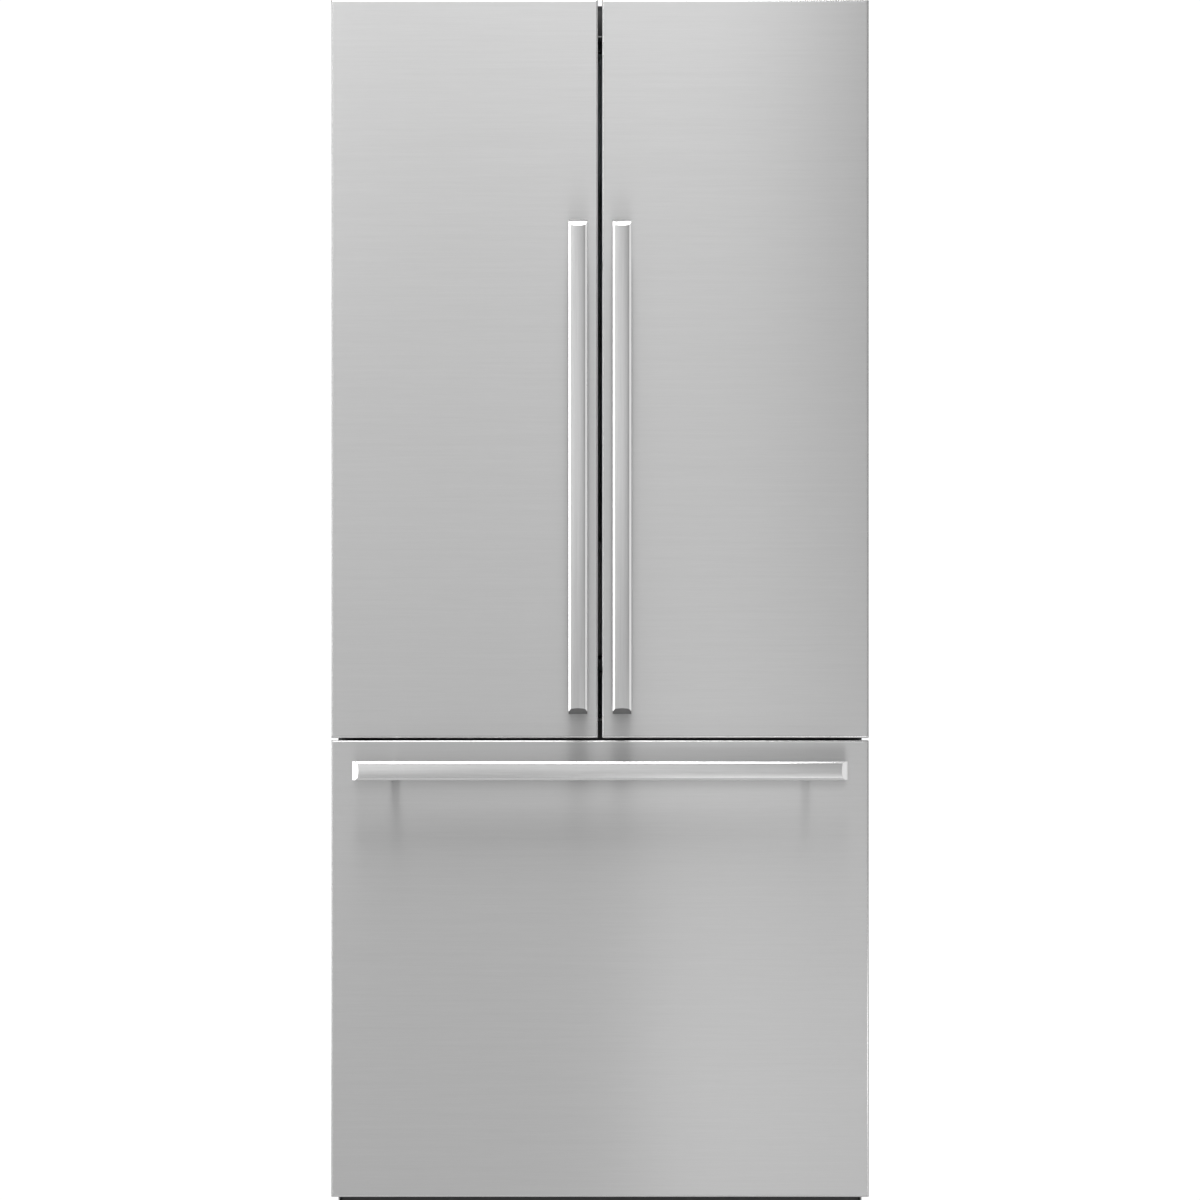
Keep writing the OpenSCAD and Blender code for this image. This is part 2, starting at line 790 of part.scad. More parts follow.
module shelf_glass() {
    wide = room_x - 1;
    color("lightcyan") {
        for (side = [0, 1], z = shelf_levels)
            mirror([side, 0, 0]) pane(shelf_x0, shelf_x1, shelf_y0, shelf_y1 - 2, z, frame_t);
        pane(-wide, wide, shelf_y0, shelf_y1 - 2, cover_z, frame_t);
        for (side = [0, 1]) mirror([side, 0, 0])
            block(4.4, wide - 6.4, shelf_y0 + 26.4, shelf_y1 - 8.4, deck_z + deck_t - glass_t,
                deck_z + deck_t);
    }
}

// A clear drawer with a thick pull along the top of its front
module clear_drawer(x0, x1, z0, h) {
    pull = 12;
    tub(x0, x1, crisper_y0 + pull, crisper_y1, z0, z0 + h, tub_t);
    block(x0, x1, crisper_y0, crisper_y0 + pull + 1, z0 + h - 26, z0 + h);
}

module left_crisper() {
    color("lightblue") clear_drawer(-room_x + 8, -6, crisper_z, crisper_h);
}

module right_crisper() {
    color("lightblue") clear_drawer(6, room_x - 8, crisper_z, crisper_h);
}

module pantry_drawer() {
    color("lightblue") clear_drawer(8 - room_x, room_x - 8, pantry_z, pantry_h);
}

// ---- Rollers and legs ----

module rear_rollers() {
    color("black") {
        rod_x(axle_d, 6 - wheel_x - wheel_w / 2 - 18, wheel_x + wheel_w / 2 + 12, axle_y, roller_d / 2);
        both_sides() rod_x(roller_d, wheel_x - wheel_w / 2, wheel_x + wheel_w / 2, axle_y, roller_d / 2);
    }
}

module leg() {
    color("gray") {
        rod_z(44, 0, 0, 0, 8);
        rod_z(leg_d, 0, 0, 7.99, toe_h - 10);
        translate([0, 0, 16]) cylinder(d = 22, h = 9, $fn = 6);
    }
}

module left_leg() {
    translate([-leg_x, leg_y, 0]) leg();
}

module right_leg() {
    translate([leg_x, leg_y, 0]) leg();
}

// ---- Doors: drawn for the left, mirrored for the right ----

// A sheet metal pan, its face to the front and its open side on the foamed body
module front_pan(x0, x1, z0, z1) {
    color("silver") difference() {
        block(x0, x1, y_panel, y_door, z0, z1);
        block(x0 + skin_t, x1 - skin_t, y_panel + skin_t, y_door + 1, z0 + skin_t, z1 - skin_t);
    }
}

module door_panel() {
    front_pan(-overall_w / 2, -door_gap / 2, z_door, overall_h);
}

module door_body() {
    hole = pin_d + 2 * pin_clear;
    z0 = z_door + body_drop;
    color("lightgray") difference() {
        block(-body_edge, -body_mid, y_door, y_body, z0, body_top);
        rod_z(hole, -pivot_x, pivot_y, body_top - pin_reach - 4, body_top + 1);
        rod_z(hole, -pivot_x, pivot_y, z0 - 1, z0 + pin_reach + 4);
    }
}

// Rectangular ring in the x-z plane
module ring(x0, x1, z0, z1, w, y0, y1) {
    difference() {
        block(x0, x1, y0, y1, z0, z1);
        block(x0 + w, x1 - w, y0 - 1, y1 + 1, z0 + w, z1 - w);
    }
}

// A seal: a ring with a folded-in groove round its outside
module seal(x0, x1, z0, z1) {
    y1 = y_cab - gasket_gap;
    fold = 4;
    color("dimgray") {
        ring(x0, x1, z0, z1, gasket_w, y_body, y_body + fold);
        ring(x0 + 3, x1 - 3, z0 + 3, z1 - 3, gasket_w - 6, y_body + fold - 0.01, y1 - fold + 0.01);
        ring(x0, x1, z0, z1, gasket_w, y1 - fold, y1);
    }
}

module door_gasket() {
    seal(-seal_out, -seal_mid, seal_lo, seal_hi);
}

module door_liner() {
    inset = gasket_w + 1.5;
    color("white") {
        block(-seal_out + inset, -seal_mid - inset, y_body, y_lining, seal_lo + inset, seal_hi - inset);
        ring(-dyke_out, -dyke_mid, dyke_lo, dyke_hi, dyke_w, y_lining - 0.01, y_body + dyke_d);
        for (i = [0:bin_n - 1], x = [-dyke_out + dyke_w - 1, -dyke_mid - dyke_w - 7])
            block(x, x + 8, y_lining - 0.01, y_body + dyke_d - 6, bin_base + i * bin_step - 10,
                bin_base + i * bin_step);
    }
}

bin_x0 = -dyke_out + dyke_w + 1;
bin_x1 = -dyke_mid - dyke_w - 1;
bin_y0 = y_lining + 0.5;

module door_bin(z) {
    tub(bin_x0, bin_x1, bin_y0, bin_y0 + bin_d, z, z + bin_h, tub_t);
}

module door_bins(count) {
    color("lightblue") for (i = [0:count - 1])
        door_bin(bin_base + i * bin_step);
}

// Handle bar along +Z from the origin, its face towards -Y, bevelled on edges and ends
module handle_bar(len) {
    half = handle_w / 2;
    slope = handle_t * 0.55;
    intersection() {
        linear_extrude(len) polygon([
            [-half, bevel], [bevel - half, 0], [half - bevel, 0], [half, bevel],
            [half, handle_t], [-half, handle_t]
        ]);
        translate([-half, 0, 0]) rotate([90, 0, 90]) linear_extrude(handle_w) polygon([
            [0, end_bevel], [slope, 0], [handle_t, 0], [handle_t, len], [slope, len],
            [0, len - end_bevel]
        ]);
    }
}

module handle_post(x, z) {
    rod_y(post_d, x, y_front + handle_t, y_panel, z);
}

module door_handle_bar() {
    color("lightgray") translate([-handle_off, y_front, z_door + handle_rise]) handle_bar(handle_len);
}

module door_handle_posts() {
    z0 = z_door + handle_rise;
    color("lightgray") for (z = [z0 + post_in, z0 + handle_len - post_in])
        handle_post(-handle_off, z);
}

module left_door_panel() {
    door_panel();
}

module left_door_body() {
    door_body();
}

// The left lining also carries the ears that the mullion turns in
module left_door_liner() {
    ear_y1 = mullion_y + mullion_t / 2;
    color("white") {
        door_liner();
        for (z = [mullion_lo - ear_gap - ear_t, mullion_hi + ear_gap])
            difference() {
                block(mullion_x - 11, mullion_x + 6, y_lining - 0.01, ear_y1, z, z + ear_t);
                rod_z(mullion_pin_d + 2 * pin_clear, mullion_x, mullion_y, z - 1, z + ear_t + 1);
            }
    }
}

module left_door_gasket() {
    door_gasket();
}

module left_handle_bar() {
    door_handle_bar();
}

module left_handle_posts() {
    door_handle_posts();
}

module left_door_bins() {
    door_bins(bin_n);
}

module flip_mullion() {
    color("gray") translate([mullion_x, mullion_y, mullion_lo]) {
        h = mullion_hi - mullion_lo;
        linear_extrude(h) {
            circle(d = mullion_t);
            translate([-mullion_t / 2, 0]) square([mullion_t, mullion_reach]);
        }
        translate([0, 0, -ear_gap - ear_t + 1])
            cylinder(d = mullion_pin_d, h = h + 2 * (ear_gap + ear_t) - 2);
    }
}

module right_door_panel() {
    mirror([1, 0, 0]) door_panel();
}

module right_door_body() {
    mirror([1, 0, 0]) door_body();
}

module right_door_liner() {
    mirror([1, 0, 0]) door_liner();
}

module right_door_gasket() {
    mirror([1, 0, 0]) door_gasket();
}

module right_handle_bar() {
    mirror([1, 0, 0]) door_handle_bar();
}

module right_handle_posts() {
    mirror([1, 0, 0]) door_handle_posts();
}

// The top bin of the right door has raised ears for the dairy lid
module right_door_bins() {
    mirror([1, 0, 0]) {
        door_bins(bin_n - 1);
        color("lightblue") difference() {
            union() {
                door_bin(dairy_z);
                for (x = [bin_x0, bin_x1 - tub_t])
                    block(x, x + tub_t, bin_y0, lid_pivot_y + 7, dairy_z + bin_h - 1, lid_pivot_z + 7);
            }
            rod_x(lid_pin_d + 2 * pin_clear, bin_x0 - 1, bin_x1 + 1, lid_pivot_y, lid_pivot_z);
        }
    }
}

module dairy_lid() {
    gap = tub_t + 1;
    color("lightblue") mirror([1, 0, 0]) {
        block(bin_x0 + gap, bin_x1 - gap, lid_pivot_y, bin_y0 + bin_d, lid_pivot_z - lid_t / 2,
            lid_pivot_z + lid_t / 2);
        rod_x(lid_pin_d + 2, bin_x0 + gap, bin_x1 - gap, lid_pivot_y, lid_pivot_z);
        rod_x(lid_pin_d, bin_x0 + 0.5, bin_x1 - 0.5, lid_pivot_y, lid_pivot_z);
    }
}

// ---- Freezer drawer ----

module drawer_panel() {
    front_pan(-overall_w / 2, overall_w / 2, toe_h, z_split);
}

module drawer_body() {
    color("lightgray") block(-body_edge, body_edge, y_door, y_body, toe_h + body_drop, z_split - body_drop);
}

module drawer_gasket() {
    seal(-seal_out, seal_out, toe_h + 12, z_split - 11);
}

module drawer_handle_bar() {
    len = overall_w - 2 * handle_margin;
    color("lightgray") translate([-len / 2, y_front, z_split - handle_drop])
        rotate([0, 90, 0]) handle_bar(len);
}

module drawer_handle_posts() {
    x = overall_w / 2 - handle_margin - post_in;
    color("lightgray") for (side = [-1, 1])
        handle_post(side * x, z_split - handle_drop);
}

// Channel in the x-z plane, u measured in from the side wall, open towards the middle
module channel(u0, u1, z0, z1, y0, y1) {
    difference() {
        block(room_x - u1, room_x - u0, y0, y1, z0, z1);
        block(room_x - u1 - 1, room_x - u0 - steel, y0 - 1, y1 + 1, z0 + steel, z1 - steel);
    }
}

module slide_outers() {
    color("gray") both_sides()
        channel(0, channel_d, slide_z, slide_z + slide_h, slide_y, slide_y + slide_len);
}

module slide_middles() {
    inset = steel + play;
    color("silver") both_sides()
        channel(inset, channel_d + play, slide_z + inset, slide_z + slide_h - inset, slide_y,
            slide_y + slide_len);
}

// Inner slide members, each with the bracket that carries the basket and bolts to the drawer
module drawer_arms() {
    inset = 2 * (steel + play);
    drop = 35;
    x0 = room_x - arm_u - arm_t;
    color("gray") both_sides() {
        channel(inset, arm_u + 0.01, slide_z + inset, slide_z + slide_h - inset, slide_y,
            slide_y + slide_len);
        block(x0, x0 + arm_t, y_body, slide_y + slide_len, slide_z - drop, ledge_z + arm_t);
        block(room_x - ledge, x0 + 0.1, y_body, slide_y + slide_len, ledge_z, ledge_z + arm_t);
        block(x0 - 30, x0 + 0.1, y_body, y_body + arm_t, slide_z - drop, ledge_z + arm_t);
    }
}

module freezer_basket() {
    x = room_x - ledge - 2;
    rim_x = room_x - arm_u - arm_t - 1;
    y1 = basket_y + basket_d;
    z1 = basket_rim_z + rim_t;
    color("whitesmoke") difference() {
        union() {
            block(-x, x, basket_y, y1, z_freezer + liner_t + 10, z1);
            block(-rim_x, rim_x, basket_y, y1, basket_rim_z, z1);
        }
        block(rim_t - x, x - rim_t, basket_y + rim_t, y1 - rim_t, z_freezer + liner_t + 10 + rim_t, z1 + 1);
    }
}

module upper_tray() {
    x = room_x - arm_u - arm_t - 4;
    color("whitesmoke") tub(-x, x, basket_y + 5, basket_y + 5 + tray_d, tray_z, tray_z + tray_h, rim_t);
}

cabinet_shell();
back_panel();
base_frame();
cabinet_insulation();
fridge_liner();
freezer_liner();
front_frame();
top_hinges();
centre_hinges();
hinge_covers();
toe_grille();
machine_cover();
compressor();
condenser();
evaporator();
air_duct();
evaporator_cover();
fan_motors();
fridge_lights();
control_panel();
shelf_supports();
shelf_frames();
shelf_glass();
slide_outers();
ice_maker();
power_inlet();
cabinet_screws();
condenser_fan();
evaporator_fan();
rear_rollers();
left_leg();
right_leg();
left_crisper();
right_crisper();
pantry_drawer();
left_door_panel();
left_door_body();
left_door_liner();
left_door_gasket();
left_handle_bar();
left_handle_posts();
left_door_bins();
flip_mullion();
right_door_panel();
right_door_body();
right_door_liner();
right_door_gasket();
right_handle_bar();
right_handle_posts();
right_door_bins();
dairy_lid();
drawer_panel();
drawer_body();
drawer_gasket();
drawer_handle_bar();
drawer_handle_posts();
freezer_basket();
drawer_arms();
slide_middles();
upper_tray();
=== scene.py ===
"""Looks of a french door refrigerator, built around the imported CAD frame.

Every length is in metres, in the frame's own axes: +Z up, the doors face -Y. Each sub-assembly is a class
that reads its place from the frame, builds its meshes and dresses them in procedural finishes.
"""

import json
import logging
import math
from dataclasses import dataclass, field
from enum import Enum

import bmesh
import bpy
from bmesh.types import BMEdge, BMesh, BMVert
from bpy.types import Material, Object
from mathutils import Matrix, Vector

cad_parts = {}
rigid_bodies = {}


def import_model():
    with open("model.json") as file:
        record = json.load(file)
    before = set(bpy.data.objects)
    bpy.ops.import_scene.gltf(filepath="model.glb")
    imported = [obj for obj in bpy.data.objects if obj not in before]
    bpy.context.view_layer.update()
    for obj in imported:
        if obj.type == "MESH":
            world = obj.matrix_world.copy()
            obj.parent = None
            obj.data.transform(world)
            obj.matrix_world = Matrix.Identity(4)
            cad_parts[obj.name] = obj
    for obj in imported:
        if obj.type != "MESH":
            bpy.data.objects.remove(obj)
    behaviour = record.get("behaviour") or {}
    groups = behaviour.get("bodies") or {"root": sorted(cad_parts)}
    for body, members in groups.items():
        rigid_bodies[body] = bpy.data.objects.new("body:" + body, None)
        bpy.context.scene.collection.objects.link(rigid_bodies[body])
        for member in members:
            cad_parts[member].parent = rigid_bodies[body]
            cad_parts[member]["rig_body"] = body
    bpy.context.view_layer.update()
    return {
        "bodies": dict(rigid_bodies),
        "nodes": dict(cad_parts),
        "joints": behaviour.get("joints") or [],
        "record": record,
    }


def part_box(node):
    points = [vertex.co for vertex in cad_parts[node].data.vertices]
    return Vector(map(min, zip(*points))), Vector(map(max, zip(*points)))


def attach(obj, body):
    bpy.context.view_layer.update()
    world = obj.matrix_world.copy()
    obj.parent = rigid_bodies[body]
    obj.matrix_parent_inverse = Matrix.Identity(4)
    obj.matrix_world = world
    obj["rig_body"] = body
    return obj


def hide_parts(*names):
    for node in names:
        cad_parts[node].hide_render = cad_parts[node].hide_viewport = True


LOG = logging.getLogger("refrigerator")
SIDES = ("left", "right")
OBJECT_COORDS = 3  # the Texture Coordinate node's Object output
MERGE_DISTANCE = 1e-5
FLAT_ANGLE = math.radians(1.0)
SHARP_ANGLE = math.radians(35.0)
ARC_SHARE = 0.3  # how far the middle of a quarter arc lies from its square corner's sides

Triple = tuple[float, float, float]
Colour = Triple
Pairs = list[tuple[float, float]]


class Grain(Enum):
    """The way a brushed surface's lines run: the scale of its noise along x, y and z."""

    ALONG_X = (1.0, 60.0, 60.0)
    ALONG_Z = (60.0, 60.0, 1.0)


# ---- Node graphs ----


class Value:
    """An output socket that can be used in Python arithmetic."""

    def __init__(self, graph: "Graph", socket: bpy.types.NodeSocket) -> None:
        """Keeps the socket and the graph that new Math nodes go into."""
        self.graph = graph
        self.socket = socket

    def math(self, operation: str, *others: "Value | float", first: bool = True) -> "Value":
        """Adds one Math node.

        Args:
            operation: the Math node's operation.
            others: its other operands.
            first: whether this value is the first operand.

        Returns:
            The Math node's result.
        """
        operands = (self, *others) if first else (*others, self)
        return self.graph.first("ShaderNodeMath", dict(enumerate(operands)), {"operation": operation})

    def __add__(self, other: "Value | float") -> "Value":
        """Sum."""
        return self.math("ADD", other)

    def __sub__(self, other: "Value | float") -> "Value":
        """Difference."""
        return self.math("SUBTRACT", other)

    def __rsub__(self, other: float) -> "Value":
        """Difference with a plain number first."""
        return self.math("SUBTRACT", other, first=False)

    def __mul__(self, other: "Value | float") -> "Value":
        """Product."""
        return self.math("MULTIPLY", other)

    def __pow__(self, other: float) -> "Value":
        """Power."""
        return self.math("POWER", other)


class Graph:
    """A node tree of any kind."""

    def __init__(self, tree: bpy.types.NodeTree) -> None:
        """Keeps the tree."""
        self.tree = tree

    def node(self, kind: str, values: dict | None = None, settings: dict | None = None) -> list[Value]:
        """Adds a node.

        Args:
            kind: the node's type name.
            values: numbers, colours or Values for its inputs, by name or index.
            settings: properties set first; "stops" holds a ramp's (place, colour) pairs.

        Returns:
            The node's enabled outputs, in order.
        """
        node = self.tree.nodes.new(kind)
        for key, value in (settings or {}).items():
            if key == "stops":
                self.set_stops(node.color_ramp, value)
            else:
                setattr(node, key, value)
        for key, value in (values or {}).items():
            socket = node.inputs[key]
            if isinstance(value, Value):
                self.tree.links.new(value.socket, socket)
            else:
                socket.default_value = value
        return [Value(self, out) for out in node.outputs if out.enabled]

    def first(self, kind: str, values: dict | None = None, settings: dict | None = None) -> Value:
        """Adds a node, as `node` does, and gives its first output."""
        return self.node(kind, values, settings)[0]

    @staticmethod
    def set_stops(ramp: bpy.types.ColorRamp, stops: list) -> None:
        """Gives a ramp its (place, colour) stops."""
        while len(ramp.elements) < len(stops):
            ramp.elements.new(1.0)
        for element, (place, colour) in zip(ramp.elements, stops):
            element.position = place
            element.color = (*colour, 1.0)


class Surface(Graph):
    """A material's node tree, with one Principled shader."""

    def __init__(self, name: str) -> None:
        """Makes an empty material of that name."""
        self.material = bpy.data.materials.new(name)
        self.material.use_nodes = True
        super().__init__(self.material.node_tree)
        self.tree.nodes.clear()

    def coords(self, scale: Triple = (1.0, 1.0, 1.0)) -> Value:
        """Object coordinates, in metres, stretched by a scale along each axis."""
        place = self.node("ShaderNodeTexCoord")[OBJECT_COORDS]
        return self.first("ShaderNodeMapping", {"Vector": place, "Scale": scale})

    def noise(self, scale: float, stretch: Triple = (1.0, 1.0, 1.0), detail: float = 2.0,
              rough: float = 0.5) -> Value:
        """Noise from 0 to 1, with about `scale` features to the metre along an unstretched axis."""
        return self.first("ShaderNodeTexNoise", {
            "Vector": self.coords(stretch), "Scale": scale, "Detail": detail, "Roughness": rough})

    def tint(self, amount: Value, low: Colour, high: Colour) -> Value:
        """A colour between two, by a value from 0 to 1."""
        return self.first("ShaderNodeValToRGB", {"Fac": amount}, {"stops": [(0.0, low), (1.0, high)]})

    def bump(self, height: Value, distance: float, strength: float = 1.0) -> Value:
        """A normal from a height that runs from 0 to 1 over a distance in metres."""
        return self.first("ShaderNodeBump", {
            "Height": height, "Distance": distance, "Strength": strength})

    def finish(self, values: dict) -> Material:
        """Ends the tree in a Principled shader.

        Args:
            values: the shader's inputs.

        Returns:
            The finished material.
        """
        shader = self.first("ShaderNodeBsdfPrincipled", values)
        self.node("ShaderNodeOutputMaterial", {"Surface": shader})
        return self.material


def grey(level: float) -> Colour:
    """A neutral colour."""
    return level, level, level


def shade(colour: Colour, factor: float) -> Colour:
    """The same colour, lighter or darker."""
    return tuple(min(1.0, c * factor) for c in colour)


# ---- Finishes ----


@dataclass(frozen=True)
class Finish:
    """A finish: the name of its material and the record's slot that it belongs to."""

    name: str
    slot: str
    colour: Colour

    def inputs(self, s: Surface) -> dict:
        """The shader's inputs, which each kind of finish gives."""
        raise NotImplementedError

    def material(self) -> Material:
        """The material, made once."""
        done = bpy.data.materials.get(self.name)
        if done:
            return done
        s = Surface(self.name)
        return s.finish(self.inputs(s))

    def tone(self, s: Surface, amount: Value, low: float, high: float) -> Value:
        """The finish's colour, drifting between two brightnesses of itself."""
        return s.tint(amount, shade(self.colour, low), shade(self.colour, high))


@dataclass(frozen=True)
class BrushedSteel(Finish):
    """Stainless steel with fine brush lines."""

    grain: Grain = Grain.ALONG_X
    roughness: float = 0.38
    stretch: float = 1.0
    contrast: float = 0.045
    relief: float = 0.00002

    def inputs(self, s: Surface) -> dict:
        """Long faint streaks and fine scratches along the grain."""
        fine = s.noise(14.0, self.grain.value, 4.0, 0.65)
        broad = s.noise(3.2, self.grain.value, 2.0, 0.5)
        streak = fine * 0.65 + broad * 0.35
        patch = s.noise(1.7, detail=1.0)
        level = (streak - 0.5) * 2.2 + (patch - 0.5) * 0.5 + 0.5
        colour = self.tone(s, level, 1 - self.contrast, 1 + self.contrast)
        across = 0.25 if self.grain is Grain.ALONG_X else 0.0
        return {
            "Base Color": colour, "Metallic": 1.0, "Roughness": (streak - 0.5) * 0.16 + self.roughness,
            "Anisotropic": self.stretch, "Anisotropic Rotation": across,
            "Normal": s.bump(streak, self.relief)}


@dataclass(frozen=True)
class BrightMetal(Finish):
    """Plated or polished metal with soft smudges."""

    roughness: float = 0.2
    smudge: float = 0.1

    def inputs(self, s: Surface) -> dict:
        """A bright metal whose gloss varies slowly."""
        cloud = s.noise(22.0, detail=4.0)
        fine = s.noise(900.0, detail=2.0)
        return {
            "Base Color": self.tone(s, cloud, 0.93, 1.05), "Metallic": 1.0,
            "Roughness": (cloud - 0.5) * self.smudge * 2 + self.roughness, "Normal": s.bump(fine, 0.00001)}


@dataclass(frozen=True)
class ZincSheet(Finish):
    """Galvanised sheet with a faint crystal pattern."""

    def inputs(self, s: Surface) -> dict:
        """Flat crystals of slightly different tone and gloss."""
        _, cell, *_ = s.node("ShaderNodeTexVoronoi", {"Vector": s.coords(), "Scale": 70.0})
        tone = s.first("ShaderNodeSeparateColor", {"Color": cell})
        cloud = s.noise(4.0, detail=3.0)
        level = tone * 0.55 + cloud * 0.45
        return {
            "Base Color": self.tone(s, level, 0.86, 1.08), "Metallic": 0.9,
            "Roughness": level * 0.18 + 0.36, "Normal": s.bump(tone, 0.00002)}


@dataclass(frozen=True)
class Painted(Finish):
    """Painted or powder-coated sheet with a fine orange peel."""

    roughness: float = 0.42
    peel: float = 0.00004

    def inputs(self, s: Surface) -> dict:
        """An even paint with small dents of orange peel and faint dust."""
        peel = s.noise(650.0, detail=1.5)
        cloud = s.noise(2.5, detail=4.0)
        return {
            "Base Color": self.tone(s, cloud, 0.96, 1.03),
            "Roughness": (cloud - 0.5) * 0.12 + self.roughness, "Coat Weight": 0.15, "Coat Roughness": 0.3,
            "Normal": s.bump(peel, self.peel)}


@dataclass(frozen=True)
class Moulded(Finish):
    """Moulded plastic with a fine texture."""

    roughness: float = 0.4
    texture: float = 0.00003

    def inputs(self, s: Surface) -> dict:
        """A plastic with a spark-eroded texture and a little colour drift."""
        grit = s.noise(1500.0, detail=2.0)
        cloud = s.noise(6.0, detail=3.0)
        return {
            "Base Color": self.tone(s, cloud, 0.955, 1.03),
            "Roughness": (cloud - 0.5) * 0.1 + self.roughness, "Normal": s.bump(grit, self.texture)}


@dataclass(frozen=True)
class Clear(Finish):
    """Clear plastic or glass, denser where it is seen edge on."""

    density: float = 0.2
    edge: float = 0.6
    roughness: float = 0.08

    def inputs(self, s: Surface) -> dict:
        """A see-through shell with bright edges."""
        _, rim = s.node("ShaderNodeLayerWeight", {"Blend": 0.35})
        wave = s.noise(9.0, detail=2.0)
        alpha = rim * self.edge + wave * 0.06 + self.density
        return {
            "Base Color": self.tone(s, rim, 1.02, 0.82), "IOR": 1.5,
            "Roughness": wave * 0.05 + self.roughness, "Alpha": alpha, "Normal": s.bump(wave, 0.0002)}


@dataclass(frozen=True)
class Rubber(Finish):
    """Soft vinyl with a dull skin."""

    def inputs(self, s: Surface) -> dict:
        """A dull, slightly dusty skin."""
        dust = s.noise(40.0, detail=5.0)
        fine = s.noise(1200.0)
        return {
            "Base Color": self.tone(s, dust, 0.85, 1.15),
            "Roughness": dust * 0.15 + 0.55, "Normal": s.bump(fine, 0.00003)}


@dataclass(frozen=True)
class Foam(Finish):
    """Cut rigid foam."""

    def inputs(self, s: Surface) -> dict:
        """An open-celled cut face."""
        cell = s.first("ShaderNodeTexVoronoi", {"Vector": s.coords(), "Scale": 420.0})
        cloud = s.noise(14.0, detail=4.0)
        return {
            "Base Color": self.tone(s, cloud, 0.85, 1.08),
            "Roughness": 0.9, "Normal": s.bump(cell, 0.0004)}


@dataclass(frozen=True)
class Lamp(Finish):
    """A frosted lens that glows a little."""

    def inputs(self, s: Surface) -> dict:
        """A ribbed frosted lens."""
        ribs = s.noise(300.0, (1.0, 0.1, 0.1))
        return {
            "Base Color": self.tone(s, ribs, 0.93, 1.0), "Roughness": ribs * 0.2 + 0.3,
            "Emission Color": s.tint(ribs, (0.85, 0.9, 1.0), (1.0, 1.0, 1.0)), "Emission Strength": 2.5,
            "Normal": s.bump(ribs, 0.0002)}


PANEL_STEEL = BrushedSteel("panel_steel", "stainless", grey(0.60))
PANEL_EDGE = BrightMetal("panel_edge", "stainless", grey(0.82), 0.24, 0.03)
HANDLE_X = BrushedSteel(
    "handle_steel_across", "handle", grey(0.7), Grain.ALONG_X, 0.34, 0.2, 0.09, 0.00005)
HANDLE_Z = BrushedSteel(
    "handle_steel_upright", "handle", grey(0.7), Grain.ALONG_Z, 0.34, 0.2, 0.09, 0.00005)
# Painted shade: a dark copy of the handle steel for the bar's back, which faces away from the lights, and for
# the low end of upright bars, which faces down.
HANDLE_PAINTED_SHADE = BrushedSteel(
    "handle_back_painted_shade", "handle", grey(0.22), Grain.ALONG_Z, 0.45, 0.0, 0.09, 0.00005)
POLISHED = BrightMetal("polished_bevel", "handle", grey(0.86), 0.16, 0.03)
CABINET_PAINT = Painted("cabinet_paint", "painted_steel", (0.66, 0.67, 0.68))
# Painted shade: the frame's paint is made near black so that where it shows through the door gaps it reads as
# shade.
FRAME_PAINTED_SHADE = Painted("frame_painted_shade", "painted_steel", (0.08, 0.08, 0.082))
DARK_PAINT = Painted("dark_paint", "dark_steel", (0.035, 0.035, 0.037), 0.45)
# Painted shade: near black so the centre hinges seen in the door gaps read as shade; the top hinges share it.
HINGE_PAINTED_SHADE = Painted("hinge_painted_shade", "hinge", (0.02, 0.02, 0.022), 0.4)
ZINC = ZincSheet("zinc_sheet", "galvanised", (0.52, 0.53, 0.54))
BRIGHT = BrightMetal("bright_plate", "slide_steel", (0.7, 0.71, 0.72))
COPPER = BrightMetal("copper_coil", "copper", (0.68, 0.36, 0.22), 0.32)
ALUMINIUM = BrightMetal("aluminium_fins", "aluminium", (0.72, 0.73, 0.74), 0.36)
LINER = Moulded("white_liner", "liner", (0.84, 0.85, 0.855), 0.3, 0.00001)
TRIM = Moulded("white_trim", "shelf_trim", (0.86, 0.865, 0.87), 0.28, 0.00001)
GREY_PLASTIC = Moulded("grey_plastic", "cover", (0.05, 0.052, 0.055), 0.42)
BLACK_PLASTIC = Moulded("black_plastic", "black_plastic", (0.014, 0.014, 0.015), 0.38)
ROLLER = Moulded("roller_nylon", "roller", grey(0.03), 0.45)
# Painted shade: the door and drawer bodies' grey skin is made near black so the gaps between the fronts read
# as shade.
DOOR_CORE = Painted("door_core_painted_shade", "door_core", (0.075, 0.077, 0.08), 0.4)
SEAL = Rubber("seal_vinyl", "seal", (0.10, 0.10, 0.105))
CLEAR = Clear("clear_moulding", "clear_plastic", (0.80, 0.88, 0.92))
GLASS = Clear("shelf_glass_pane", "glass", (0.62, 0.80, 0.74), 0.14, 0.75, 0.03)
FOAM = Foam("cut_foam", "foam", (0.78, 0.7, 0.42))
LAMP = Lamp("lamp_lens", "lamp", (0.93, 0.94, 0.95))


# ---- Meshes ----


def link(name: str, data: bpy.types.ID) -> Object:
    """Makes an object of some data and links it into the scene."""
    obj = bpy.data.objects.new(name, data)
    bpy.context.scene.collection.objects.link(obj)
    return obj


def new_object(name: str, bm: BMesh, materials: list[Material]) -> Object:
    """Turns a bmesh into a linked object.

    Args:
        name: the object's name.
        bm: the mesh, which is freed.
        materials: its material slots.

    Returns:
        The object, at the origin.
    """
    mesh = bpy.data.meshes.new(name)
    bm.to_mesh(mesh)
    bm.free()
    for material in materials:
        mesh.materials.append(material)
    return link(name, mesh)


def smooth(obj: Object, angle: float) -> None:
    """Shades an object smooth, with creases sharper than an angle in degrees."""
    mesh = obj.data
    mesh.polygons.foreach_set("use_smooth", [True] * len(mesh.polygons))
    mesh.set_sharp_from_angle(angle=math.radians(angle))


